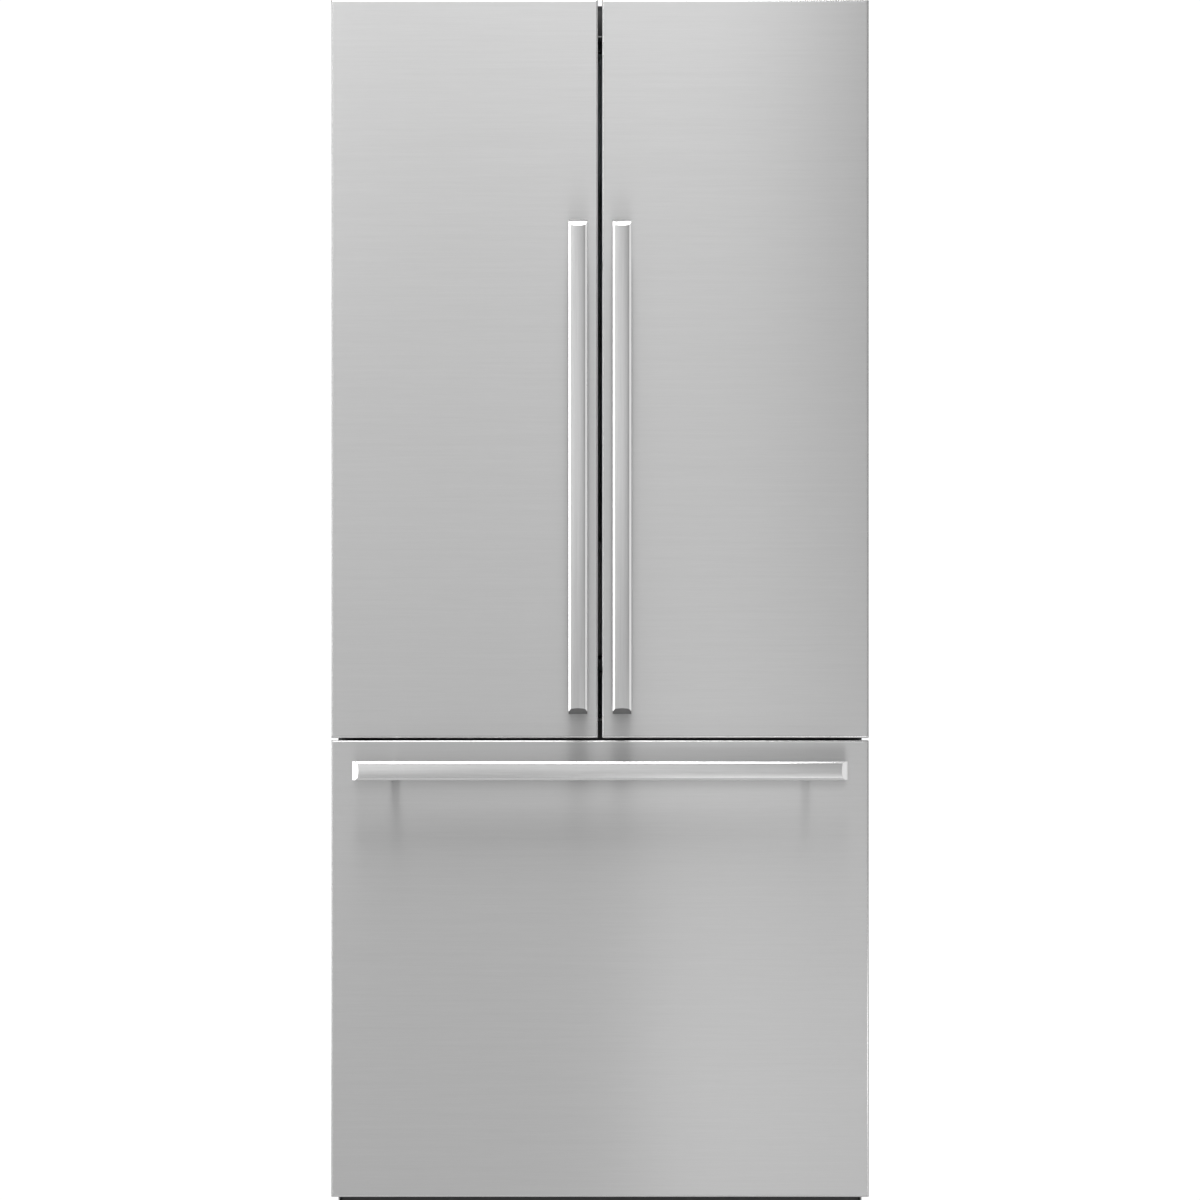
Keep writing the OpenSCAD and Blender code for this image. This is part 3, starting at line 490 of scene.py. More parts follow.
def settle(obj: Object, body: str, finish: Finish, *replaced: str) -> None:
    """Hangs a finished piece on the frame.

    Args:
        obj: the piece.
        body: the CAD body that it moves with.
        finish: not used.
        replaced: the CAD nodes that it stands for.
    """
    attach(obj, body)
    if replaced:
        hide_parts(*replaced)
    LOG.info("%s: %d faces on %s", obj.name, len(obj.data.polygons), body)


def dress(bm: BMesh, name: str, crease: float, body: str, finish: Finish, *replaced: str) -> None:
    """Ends a mesh of one finish as a shaded piece on the frame.

    Args:
        bm: the mesh, which is freed.
        name: the piece's name.
        crease: the angle in degrees from which its edges stay sharp.
        body, replaced: as for `settle`; finish: the finish whose material it takes.
    """
    obj = new_object(name, bm, [finish.material()])
    smooth(obj, crease)
    settle(obj, body, finish, *replaced)


def skin(bm: BMesh, rings: list[list[BMVert]]) -> None:
    """Joins rings of equal length with quads, and closes both ends."""
    for low, high in zip(rings, rings[1:]):
        for i in range(len(low)):
            j = (i + 1) % len(low)
            bm.faces.new((low[i], low[j], high[j], high[i]))
    bm.faces.new(list(reversed(rings[0])))
    bm.faces.new(rings[-1])


def face_outward(bm: BMesh) -> None:
    """Turns every face's normal outward."""
    bmesh.ops.recalc_face_normals(bm, faces=bm.faces)


def along_x(x: float) -> Matrix:
    """Brings a form's own axes to +Y, +Z and +X, with its first face at an x."""
    return Matrix(((0, 0, 1, x), (1, 0, 0, 0), (0, 1, 0, 0), (0, 0, 0, 1)))


def is_concave(edge: BMEdge) -> bool:
    """Whether an edge between two faces is an inner corner."""
    return edge.is_manifold and not edge.is_convex


@dataclass
class Softened:
    """A CAD node's own shape with its doubles merged and its edges broken."""

    node: str
    finish: Finish
    edge: float = 0.0006
    inner: float = 0.0
    segments: int = 2
    inner_segments: int = 5
    crease: float = 16.0

    def mesh(self, source: Object) -> BMesh:
        """Copies the node's mesh, merges it and bevels it.

        Args:
            source: the CAD node's object.

        Returns:
            The new mesh.
        """
        bm = bmesh.new()
        bm.from_mesh(source.data)
        bmesh.ops.remove_doubles(bm, verts=bm.verts, dist=MERGE_DISTANCE)
        bmesh.ops.dissolve_limit(bm, angle_limit=FLAT_ANGLE, verts=bm.verts, edges=bm.edges)
        if self.inner:
            self.bevel(bm, [e for e in bm.edges if is_concave(e)], self.inner, self.inner_segments)
        if self.edge:
            convex = [e for e in bm.edges if e.is_manifold and e.is_convex]
            self.bevel(bm, convex, self.edge, self.segments)
        return bm

    @staticmethod
    def bevel(bm: BMesh, edges: list[BMEdge], width: float, segments: int) -> None:
        """Bevels those of the edges that are sharp."""
        sharp = [e for e in edges if e.calc_face_angle(0.0) > SHARP_ANGLE]
        bmesh.ops.bevel(bm, geom=sharp, offset=width, offset_type="OFFSET", segments=segments, profile=0.5,
                        affect="EDGES", clamp_overlap=True)

    def build(self, frame: dict) -> None:
        """Makes the piece and hangs it on the node's own body."""
        source = frame["nodes"][self.node]
        dress(self.mesh(source), self.node + "_skin", self.crease, source["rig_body"], self.finish, self.node)


def rounded_loop(x0: float, x1: float, y0: float, y1: float, radius: float, steps: int) -> Pairs:
    """Points round a rectangle with round corners, anticlockwise."""
    radius = max(radius, 1e-5)
    corners = ((x1 - radius, y0 + radius, -90), (x1 - radius, y1 - radius, 0), (x0 + radius, y1 - radius, 90),
               (x0 + radius, y0 + radius, 180))
    points = []
    for cx, cy, start in corners:
        for i in range(steps + 1):
            a = math.radians(start + 90 * i / steps)
            points.append((cx + radius * math.cos(a), cy + radius * math.sin(a)))
    return points


@dataclass
class Loft:
    """A form built up from rounded rectangles: (inset, height) pairs from its first face to its last.

    `turn` brings the form's own axes into the frame; the footprint is x0, x1, y0, y1.
    """

    footprint: tuple[float, float, float, float]
    levels: Pairs
    radius: float = 0.008
    steps: int = 6
    turn: Matrix = field(default_factory=Matrix)

    def add_to(self, bm: BMesh) -> None:
        """Adds the form to a mesh, closed at both ends."""
        x0, x1, y0, y1 = self.footprint
        rings = []
        for inset, z in self.levels:
            loop = rounded_loop(
                x0 + inset, x1 - inset, y0 + inset, y1 - inset, self.radius - inset, self.steps)
            rings.append([bm.verts.new(self.turn @ Vector((x, y, z))) for x, y in loop])
        skin(bm, rings)


def tub_levels(z0: float, z1: float, wall: float, fillet: float, lip: float) -> Pairs:
    """The levels of an open tub: up the outside, over the rim and down the inside."""
    inside, mid, floor = wall + lip, fillet * ARC_SHARE, z0 + wall
    soft, lip_low, lip_high = 0.001, z1 - 0.009, z1 - 0.006
    return [
        (lip + fillet, z0), (lip + mid, z0 + mid), (lip, z0 + fillet), (lip, lip_low), (0.0, lip_high),
        (0.0, z1 - soft), (soft, z1), (inside - soft, z1), (inside, z1 - soft), (inside, floor + fillet),
        (inside + mid, floor + mid), (inside + fillet, floor)]


# ---- Geometry node trees ----


class Tree(Graph):
    """A geometry node tree that ends in Realize Instances and Set Material."""

    def __init__(self, name: str, inputs: dict[str, tuple[str, object]]) -> None:
        """Makes the tree and its named inputs.

        Args:
            name: the tree's name.
            inputs: each input's kind, such as Float, and its default value.
        """
        super().__init__(bpy.data.node_groups.new(name, "GeometryNodeTree"))
        face = self.tree.interface
        face.new_socket(name="Geometry", in_out="INPUT", socket_type="NodeSocketGeometry")
        for label, (kind, default) in inputs.items():
            socket = face.new_socket(name=label, in_out="INPUT", socket_type="NodeSocket" + kind)
            if default is not None:
                socket.default_value = default
        face.new_socket(name="Material", in_out="INPUT", socket_type="NodeSocketMaterial")
        face.new_socket(name="Geometry", in_out="OUTPUT", socket_type="NodeSocketGeometry")
        start = self.tree.nodes.new("NodeGroupInput")
        self.given = {out.name: Value(self, out) for out in start.outputs if out.name}

    def geo(self, kind: str, values: dict | None = None, settings: dict | None = None) -> Value:
        """Adds a geometry node and gives its first output."""
        return self.first("GeometryNode" + kind, values, settings)

    def close(self, geometry: Value) -> None:
        """Realizes the instances, sets the material and ends the tree."""
        real = self.geo("RealizeInstances", {"Geometry": geometry})
        dressed = self.geo("SetMaterial", {"Geometry": real, "Material": self.given["Material"]})
        self.node("NodeGroupOutput", {"Geometry": dressed})

    def run(self, name: str, finish: Finish, values: dict,
            points: list[Vector] | None = None) -> Object:
        """Runs the tree once and keeps its result as a plain mesh.

        Args:
            name: the new object's name.
            finish: its finish.
            values: the named inputs' values.
            points: vertices handed in as the tree's geometry.

        Returns:
            The finished object.
        """
        seed = bpy.data.meshes.new(name + "_seed")
        seed.from_pydata([tuple(p) for p in points or []], [], [])
        carrier = link(name + "_seed", seed)
        modifier = carrier.modifiers.new("build", "NODES")
        modifier.node_group = self.tree
        names = {item.name: item.identifier for item in self.tree.interface.items_tree
                 if item.in_out == "INPUT"}
        for label, value in {**values, "Material": finish.material()}.items():
            modifier[names[label]] = value
        graph = bpy.context.evaluated_depsgraph_get()
        mesh = bpy.data.meshes.new_from_object(carrier.evaluated_get(graph), depsgraph=graph)
        carrier.modifiers.remove(modifier)
        bpy.data.objects.remove(carrier)
        mesh.name = name
        return link(name, mesh)


def row_tree() -> Tree:
    """A tree that sets equal blocks in a row: fins and ribs."""
    t = Tree("row_of_blocks", {
        "Count": ("Int", 10), "Start": ("Vector", None), "Step": ("Vector", None), "Size": ("Vector", None)})
    line = t.geo("MeshLine", {
        "Count": t.given["Count"], "Start Location": t.given["Start"], "Offset": t.given["Step"]})
    block = t.geo("MeshCube", {"Size": t.given["Size"]})
    t.close(t.geo("InstanceOnPoints", {"Points": line, "Instance": block}))
    return t


def ring_tree() -> Tree:
    """A tree that sweeps a folded profile round a rounded rectangle: the door seals."""
    t = Tree("swept_ring", {
        "Width": ("Float", 1.0), "Height": ("Float", 1.0), "Corner": ("Float", 0.01),
        "Centre": ("Vector", None), "Face": ("Float", 0.007), "Depth": ("Float", 0.006)})
    path = t.geo("CurvePrimitiveQuadrilateral", {
        "Width": t.given["Width"], "Height": t.given["Height"]})
    path = t.geo("FilletCurve", {
        "Curve": path, "Count": 5, "Radius": t.given["Corner"]}, {"mode": "POLY"})
    path = t.geo("SetCurveNormal", {"Curve": path}, {"mode": "Z_UP"})
    profile = t.geo("CurvePrimitiveCircle", {
        "Resolution": 24, "Radius": 1.0}, {"mode": "RADIUS"})
    place = t.geo("InputPosition")
    x, y, _ = t.node("ShaderNodeSeparateXYZ", {"Vector": place})
    squared = x * (x.math("ABSOLUTE") ** 2.0 * -0.28 + 1.28)
    waist = 1.0 - (1.0 - y.math("ABSOLUTE")) ** 3.0 * 0.34
    shaped = t.first("ShaderNodeCombineXYZ", {
        "X": squared * waist * t.given["Face"], "Y": y * t.given["Depth"]})
    profile = t.geo("SetPosition", {"Geometry": profile, "Position": shaped})
    swept = t.geo("CurveToMesh", {"Curve": path, "Profile Curve": profile})
    upright = t.geo("Transform", {
        "Geometry": swept, "Translation": t.given["Centre"], "Rotation": (math.radians(90), 0.0, 0.0)})
    t.close(upright)
    return t


def screw_tree() -> Tree:
    """A tree that sets a washer-head screw on each point, its axis along +Y."""
    t = Tree("screws", {"Diameter": ("Float", 0.009), "Rise": ("Float", 0.0022)})
    half = t.given["Diameter"] * 0.5
    head = t.geo("MeshCone", {
        "Vertices": 14, "Radius Top": half * 0.72, "Radius Bottom": half, "Depth": t.given["Rise"] * 0.6})
    driver = t.geo("MeshCylinder", {
        "Vertices": 6, "Radius": half * 0.5, "Depth": t.given["Rise"]})
    joined = t.geo("JoinGeometry")
    for part in (head, driver):
        t.tree.links.new(part.socket, joined.socket.node.inputs[0])
    t.close(t.geo("InstanceOnPoints", {
        "Points": t.given["Geometry"], "Instance": joined, "Rotation": (math.radians(-90), 0.0, 0.0)}))
    return t


def islands(source: Object) -> list[tuple[Vector, Vector]]:
    """The lowest and highest corner of each separate solid of a CAD node, from the lowest up."""
    bm = bmesh.new()
    bm.from_mesh(source.data)
    bmesh.ops.remove_doubles(bm, verts=bm.verts, dist=MERGE_DISTANCE)
    left, boxes = set(bm.verts), []
    while left:
        group, queue = [], [left.pop()]
        while queue:
            vert = queue.pop()
            group.append(vert.co.copy())
            for edge in vert.link_edges:
                other = edge.other_vert(vert)
                if other in left:
                    left.discard(other)
                    queue.append(other)
        boxes.append((Vector(map(min, *group)), Vector(map(max, *group))))
    bm.free()
    return sorted(boxes, key=lambda box: (round(box[0].z, 4), box[0].x, box[0].y))


@dataclass
class Lathe:
    """A turned form: (radius, along) pairs from one end to the other, about an axis through a centre."""

    profile: Pairs
    centre: Vector
    axis: int = 2
    turns: int = 32

    def add_to(self, bm: BMesh) -> None:
        """Adds the form to a mesh, closed at both ends."""
        first, second = (self.axis + 1) % 3, (self.axis + 2) % 3
        rings = []
        for radius, along in self.profile:
            ring = []
            for i in range(self.turns):
                angle = math.tau * i / self.turns
                point = self.centre.copy()
                point[first] += radius * math.cos(angle)
                point[second] += radius * math.sin(angle)
                point[self.axis] += along
                ring.append(bm.verts.new(point))
            rings.append(ring)
        skin(bm, rings)


@dataclass
class Pipe:
    """A round pipe along a path of points."""

    path: list[Vector]
    radius: float
    sides: int = 12

    def add_to(self, bm: BMesh) -> None:
        """Adds the pipe to a mesh, closed at both ends."""
        rings, normal = [], None
        for i, point in enumerate(self.path):
            before, after = self.path[max(i - 1, 0)], self.path[min(i + 1, len(self.path) - 1)]
            tangent = (after - before).normalized()
            if normal is None:
                normal = tangent.orthogonal().normalized()
            normal = (normal - tangent * normal.dot(tangent)).normalized()
            side = tangent.cross(normal)
            angles = (math.tau * k / self.sides for k in range(self.sides))
            rings.append([bm.verts.new(point + self.radius * (normal * math.cos(a) + side * math.sin(a)))
                          for a in angles])
        skin(bm, rings)


# ---- Doors, drawer and handles ----


@dataclass
class FoldedPanel:
    """A brushed sheet-metal pan with a small bend radius, in place of a CAD front panel."""

    node: str
    body: str
    radius: float = 0.0028
    wall: float = 0.0012
    margin: float = 0.0015
    bend_steps: int = 5
    corner_share: float = 0.6
    bright_bend: tuple[float, float] = (-0.99, -0.05)

    def build(self) -> None:
        """Makes the pan: a face, round bends, returned edges and an open back."""
        lo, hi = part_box(self.node)
        r, w, front, back = self.radius, self.wall, -lo.y, -hi.y
        inside = [(w, back), (w, front - r), (r, front - w)]
        outside = [(0.0, back)]
        for i in range(self.bend_steps + 1):
            a = math.radians(90 * i / self.bend_steps)
            outside.append((r * (1 - math.cos(a)), front - r * (1 - math.sin(a))))
        # Two close rings round the face keep its shading flat next to the bends.
        outside += [(r + self.margin, front), (r + 2 * self.margin, front)]
        bm = bmesh.new()
        skin(bm, [self.ring(bm, lo, hi, *level) for level in (*reversed(inside), *outside)])
        bm.normal_update()
        lowest, highest = self.bright_bend
        for face in bm.faces:
            face.material_index = int(lowest < face.normal.y < highest)
        obj = new_object(self.node + "_pan", bm, [PANEL_STEEL.material(), PANEL_EDGE.material()])
        smooth(obj, 30.0)
        settle(obj, self.body, PANEL_STEEL, self.node)

    def ring(self, bm: BMesh, lo: Vector, hi: Vector, inset: float, out: float) -> list[BMVert]:
        """One loop of corners at an inset and at a distance towards the front."""
        loop = rounded_loop(lo.x + inset, hi.x - inset, lo.z + inset, hi.z - inset,
                            self.radius * self.corner_share, 3)
        return [bm.verts.new(Vector((x, -out, z))) for x, z in loop]


@dataclass
class BarHandle:
    """A bar handle with a softly crowned brushed face, polished bevels and sloping ends, on two posts."""

    bar: str
    posts: str
    body: str
    upright: bool
    crown: float = 0.0011
    bevel: float = 0.0040
    bevel_depth: float = 0.0040
    end: float = 0.0105
    end_depth: float = 0.0088
    break_edge: float = 0.00035
    crown_steps: int = 10
    flat_limit: float = math.cos(math.radians(20.0))
    low_end_limit: float = -0.3

    def section(self, half: float, depth: float) -> Pairs:
        """Half-width and depth points round the bar, from one bevel over the face to the other."""
        face = half - self.bevel
        shares = [2 * i / self.crown_steps - 1 for i in range(self.crown_steps + 1)]
        arc = [(face * share, self.crown * share ** 2) for share in shares]
        side = self.crown + self.bevel_depth
        return [(-half, depth), (-half, side), *arc, (half, side), (half, depth)]

    def build(self) -> None:
        """Makes the bar and its two posts."""
        lo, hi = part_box(self.bar)
        long_axis, wide_axis = (2, 0) if self.upright else (0, 2)
        length = hi[long_axis] - lo[long_axis]
        half = (hi[wide_axis] - lo[wide_axis]) / 2
        middle = (hi[wide_axis] + lo[wide_axis]) / 2

        def place(u: float, d: float, t: float) -> Vector:
            """A point across the bar, into it and along it."""
            point = Vector((0.0, lo.y + d, 0.0))
            point[wide_axis], point[long_axis] = middle + u, lo[long_axis] + t
            return point

        bm = bmesh.new()
        section = self.section(half, hi.y - lo.y)
        ends = [[bm.verts.new(place(u, d, t)) for u, d in section] for t in (0.0, length)]
        skin(bm, ends)
        face_outward(bm)
        for t, away in ((0.0, 1.0), (length, -1.0)):
            low = place(0.0, self.end_depth, t)
            high = place(0.0, 0.0, t + away * self.end)
            along = high - low
            normal = along.cross(place(1.0, 0.0, 0.0) - place(0.0, 0.0, 0.0)).normalized()
            if normal.y > 0:
                normal = -normal
            cut = bmesh.ops.bisect_plane(bm, geom=[*bm.verts, *bm.edges, *bm.faces], plane_co=low,
                                         plane_no=normal, clear_outer=True)
            rim = [e for e in cut["geom_cut"] if isinstance(e, BMEdge)]
            bmesh.ops.edgeloop_fill(bm, edges=rim)
        face_outward(bm)
        for face in bm.faces:
            face.material_index = self.finish_of(face.normal)
        Softened.bevel(bm, list(bm.edges), self.break_edge, 2)
        brushed = HANDLE_Z if self.upright else HANDLE_X
        # The third material is the painted shade of the bar's back and low end.
        obj = new_object(self.bar + "_crowned", bm, [
            brushed.material(), POLISHED.material(), HANDLE_PAINTED_SHADE.material()])
        smooth(obj, 12.0)
        settle(obj, self.body, brushed, self.bar)
        self.build_posts()

    def finish_of(self, normal: Vector) -> int:
        """The slot of a face: 0 brushed in front, 1 polished bevels, 2 a rougher satin steel at the back and,
        on upright bars, the low end, whose dark colour is a painted shade.
        """
        if normal.y < -self.flat_limit:
            return 0
        # The back and the low end of upright bars take the painted shade.
        if normal.y > self.flat_limit or (self.upright and normal.z < self.low_end_limit):
            return 2
        return 1

    def build_posts(self) -> None:
        """Makes the posts as turned pins with a narrow waist, whose feet sit flat on the panel."""
        lo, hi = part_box(self.posts)
        radius = min(hi.x - lo.x, hi.z - lo.z) / 2
        ends = (Vector((lo.x + radius, 0, lo.z + radius)), Vector((hi.x - radius, 0, hi.z - radius)))
        depth = hi.y - lo.y
        outline = [(0.78, 0.0), (0.86, 0.06), (0.8, 0.1), (0.8, 0.85), (0.98, 0.9), (1.0, 0.93), (1.0, 1.0)]
        profile = [(radius * share, depth * along) for share, along in outline]
        bm = bmesh.new()
        for centre in ends:
            Lathe(profile, centre + Vector((0, lo.y, 0)), 1).add_to(bm)
        face_outward(bm)
        dress(bm, self.posts + "_turned", 25.0, self.body, POLISHED, self.posts)


@dataclass
class Seal:
    """A folded vinyl seal round the back of a door, in place of the CAD ring."""

    node: str
    body: str
    tree: Tree
    face: float = 0.007
    corner: float = 0.012

    def build(self) -> None:
        """Sweeps the profile round the door."""
        lo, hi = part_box(self.node)
        obj = self.tree.run(self.node + "_folded", SEAL, {
            "Width": hi.x - lo.x - 2 * self.face, "Height": hi.z - lo.z - 2 * self.face,
            "Corner": self.corner, "Centre": (lo + hi) / 2, "Face": self.face, "Depth": (hi.y - lo.y) / 2})
        smooth(obj, 50.0)
        settle(obj, self.body, SEAL, self.node)


@dataclass
class Tubs:
    """Tubs with round corners and a lipped rim, in place of a CAD node of one or more square tubs."""

    node: str
    body: str
    finish: Finish
    radius: float = 0.014
    wall: float = 0.0026
    fillet: float = 0.008
    lip: float = 0.0018
    trim: float = 0.0

    def build(self, frame: dict) -> None:
        """Makes every tub as one mesh, with a bright strip along each front if it has one."""
        boxes = islands(frame["nodes"][self.node])
        height = min(hi.z - lo.z for lo, hi in boxes)
        bm = bmesh.new()
        for lo, hi in boxes:
            levels = tub_levels(lo.z, lo.z + height, self.wall, self.fillet, self.lip)
            Loft((lo.x, hi.x, lo.y, hi.y), levels, self.radius).add_to(bm)
            if hi.z - lo.z > height + 0.001:
                self.ears(bm, lo, hi, lo.z + height)
        dress(bm, self.node + "_tub", 32.0, self.body, self.finish, self.node)
        if self.trim:
            self.strips([(lo, Vector((hi.x, hi.y, lo.z + height))) for lo, hi in boxes])

    @staticmethod
    def ears(bm: BMesh, lo: Vector, hi: Vector, rim: float) -> None:
        """Adds the two ears that a lid turns in, each rooted a little below the rim."""
        depth, wall, root = 0.015, 0.003, 0.004
        for x in (lo.x, hi.x - wall):
            Loft((lo.y, lo.y + depth, rim - root, hi.z), [(0.0, 0.0), (0.0, wall)], 0.004, 5,
                 along_x(x)).add_to(bm)

    def strips(self, boxes: list[tuple[Vector, Vector]]) -> None:
        """Adds the bright strips, each standing on the front of a tub."""
        inset, levels = 0.012, [(0.0, -0.001), (0.0, 0.0006), (0.0005, 0.001)]
        bm = bmesh.new()
        for lo, hi in boxes:
            forward = Matrix(((1, 0, 0, 0), (0, 0, 1, hi.y), (0, -1, 0, 0), (0, 0, 0, 1)))
            top = -hi.z + inset
            Loft((lo.x + inset, hi.x - inset, top, top + self.trim), levels, 0.002, 3, forward).add_to(bm)
        face_outward(bm)
        dress(bm, self.node + "_strips", 25.0, self.body, BRIGHT)


@dataclass
class ClearDrawer:
    """A clear drawer with round corners, a thick pull along its front and a seam under it."""

    node: str
    pull: float = 0.012
    pull_height: float = 0.026
    wall: float = 0.0026
    lip: float = 0.0016
    fillet: float = 0.010
    radius: float = 0.016
    pull_edge: float = 0.003
    pull_radius: float = 0.0058

    def build(self, frame: dict) -> None:
        """Makes the tub and its pull."""
        lo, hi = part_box(self.node)
        bm = bmesh.new()
        levels = tub_levels(lo.z, hi.z, self.wall, self.fillet, self.lip)
        Loft((lo.x, hi.x, lo.y + self.pull, hi.y), levels, self.radius).add_to(bm)
        span, edge, mid = hi.x - lo.x, self.pull_edge, self.pull_edge * ARC_SHARE
        Loft((lo.y, lo.y + self.pull + self.lip, hi.z - self.pull_height, hi.z),
             [(edge, 0.0), (mid, mid), (0.0, edge), (0.0, span - edge), (mid, span - mid), (edge, span)],
             self.pull_radius, 7, along_x(lo.x)).add_to(bm)
        dress(bm, self.node + "_moulding", 32.0, self.node, CLEAR, self.node)


# ---- Cooling system, feet and fixings ----


@dataclass
class Coil:
    """A finned coil: a row of thin plates and one pipe that runs to and fro through them."""

    node: str
    rows: int
    fins: int
    fin_finish: Finish
    pipe_finish: Finish
    rack: Tree
    reach: float = 0.006
    pipe: float = 0.0045
    foot: float = 0.0
    bends: int = 8
    plate: float = 0.0003

    def build(self) -> None:
        """Makes the plates and the pipe in the CAD coil's place."""
        lo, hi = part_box(self.node)
        lo = lo + Vector((0, 0, self.foot))
        rise = (hi.z - lo.z) / self.rows
        inset = self.reach + rise / 2 + self.pipe
        x0, x1 = lo.x + inset, hi.x - inset
        mid = (lo.y + hi.y) / 2
        step = (x1 - x0) / (self.fins - 1)
        plates = self.rack.run(self.node + "_fins", self.fin_finish, {
            "Count": self.fins, "Start": Vector((x0, mid, (lo.z + hi.z) / 2)), "Step": Vector((step, 0, 0)),
            "Size": Vector((self.plate, hi.y - lo.y, hi.z - lo.z))})
        settle(plates, "cabinet", self.fin_finish, self.node)
        bm = bmesh.new()
        Pipe(self.path(x0 - self.reach, x1 + self.reach, mid, lo.z, rise), self.pipe).add_to(bm)
        if self.foot:
            levels = [(0.0, lo.z - self.foot), (0.0, lo.z + 0.002)]
            for x in (x0, x1):
                Loft((x - 0.001, x + 0.001, lo.y + 0.01, hi.y - 0.01), levels, 0.0002, 1).add_to(bm)
        dress(bm, self.node + "_pipe", 35.0, "cabinet", self.pipe_finish, self.node)

    def path(self, x0: float, x1: float, y: float, z0: float, rise: float) -> list[Vector]:
        """The pipe's way: along each row, and round a half circle to the next."""
        points = []
        for row in range(self.rows):
            z = z0 + (row + 0.5) * rise
            ahead = row % 2 == 0
            start, end = (x0, x1) if ahead else (x1, x0)
            points += [Vector((start, y, z)), Vector((end, y, z))]
            if row < self.rows - 1:
                out = rise / 2 if ahead else -rise / 2
                for k in range(1, self.bends):
                    a = math.pi * k / self.bends
                    points.append(Vector((end + out * math.sin(a), y, z + rise / 2 * (1 - math.cos(a)))))
        return points


@dataclass
class Leg:
    """A levelling leg: a round pad, a hexagon for the wrench and a thread."""

    node: str
    pitch: float = 0.002
    depth: float = 0.0009
    stem: float = 0.006
    thread_start: float = 0.0105
    thread_room: float = 0.013
    nut: tuple[tuple[float, float], ...] = (
        (0.0095, 0.016), (0.011, 0.0168), (0.011, 0.0242), (0.0095, 0.025))

    def build(self, frame: dict) -> None:
        """Turns the leg in the CAD leg's place."""
        lo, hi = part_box(self.node)
        centre = Vector(((lo.x + hi.x) / 2, (lo.y + hi.y) / 2, lo.z))
        pad, height = (hi.x - lo.x) / 2, hi.z - lo.z
        foot = [(pad - 0.002, 0.0), (pad, 0.002), (pad, 0.0055), (pad - 0.003, 0.0075),
                (self.stem + 0.002, 0.008), (self.stem, 0.010)]
        root = self.stem - self.depth
        thread = [(root, self.thread_start - 0.001)]
        for k in range(int((height - self.thread_room) / self.pitch)):
            z = self.thread_start + k * self.pitch
            thread += [(root, z), (self.stem, z + self.pitch * 0.4), (self.stem, z + self.pitch * 0.55)]
        thread += [(root, height - 0.001), (root - self.depth, height)]
        bm = bmesh.new()
        for profile, turns in ((foot, 40), (thread, 24), (self.nut, 6)):
            Lathe(profile, centre, 2, turns).add_to(bm)
        face_outward(bm)
        dress(bm, self.node + "_turned", 30.0, self.node, BRIGHT, self.node)


@dataclass
class Rollers:
    """Two nylon rollers with round shoulders on one steel axle."""

    node: str = "rear_rollers"
    axle: float = 0.005
    edge: float = 0.0025

    def build(self, frame: dict) -> None:
        """Turns the rollers and the axle."""
        lo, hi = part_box(self.node)
        centre = Vector((0.0, (lo.y + hi.y) / 2, (lo.z + hi.z) / 2))
        radius = (hi.z - lo.z) / 2
        source = frame["nodes"][self.node]
        rims = sorted({round(v.co.x, 5) for v in source.data.vertices
                       if abs((v.co - centre).yz.length - radius) < 0.0004})
        steel, nylon = bmesh.new(), bmesh.new()
        Lathe([(self.axle - 0.001, lo.x), (self.axle, lo.x + 0.001), (self.axle, hi.x - 0.001),
               (self.axle - 0.001, hi.x)], centre, 0, 24).add_to(steel)
        mid = self.edge * ARC_SHARE
        half = [(radius * 0.45, 0.003), (radius * 0.5, 0.001), (radius * 0.8, 0.001),
                (radius - self.edge, 0.0), (radius - mid, mid), (radius, self.edge)]
        for x0, x1 in ((rims[0], rims[1]), (rims[-2], rims[-1])):
            profile = [(r, x0 + x) for r, x in half] + [(r, x1 - x) for r, x in reversed(half)]
            Lathe(profile, centre, 0, 48).add_to(nylon)
        for bm, finish, name in ((steel, BRIGHT, "axle"), (nylon, ROLLER, "wheels")):
            face_outward(bm)
            dress(bm, f"{self.node}_{name}", 30.0, self.node, finish, self.node)


@dataclass
class Fixings:
    """The screws round the back, and the pressed ribs of the back panel."""

    screws: Tree
    rack: Tree
    ribs: int = 4
    rib_rise: float = 0.0022
    rib_height: float = 0.03
    rib_margin: float = 0.08
    screw_rise: float = 0.0022

    def build(self, frame: dict) -> None:
        """Sets a screw on each CAD screw and ribs across the back."""
        boxes = islands(frame["nodes"]["cabinet_screws"])
        points = [Vector(((lo.x + hi.x) / 2, hi.y - 0.0012, (lo.z + hi.z) / 2)) for lo, hi in boxes]
        heads = self.screws.run("cabinet_screw_heads", BRIGHT, {
            "Diameter": 0.009, "Rise": self.screw_rise}, points)
        settle(heads, "cabinet", BRIGHT, "cabinet_screws")
        lo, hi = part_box("back_panel")
        step = (hi.z - lo.z) / (self.ribs + 1)
        ribs = self.rack.run("back_panel_ribs", ZINC, {
            "Count": self.ribs, "Start": Vector((0, hi.y + 0.0002, lo.z + step)),
            "Step": Vector((0, 0, step)),
            "Size": Vector((hi.x - lo.x - 2 * self.rib_margin, self.rib_rise, self.rib_height))})
        bm = bmesh.new()
        bm.from_mesh(ribs.data)
        tops = [e for e in bm.edges if all(v.co.y > hi.y + 0.0005 for v in e.verts)]
        bmesh.ops.bevel(bm, geom=tops, offset=0.0009, offset_type="OFFSET", segments=3, profile=0.5,
                        affect="EDGES")
        bm.to_mesh(ribs.data)
        bm.free()
        smooth(ribs, 40.0)
        settle(ribs, "cabinet", ZINC)


# ---- Studio ----


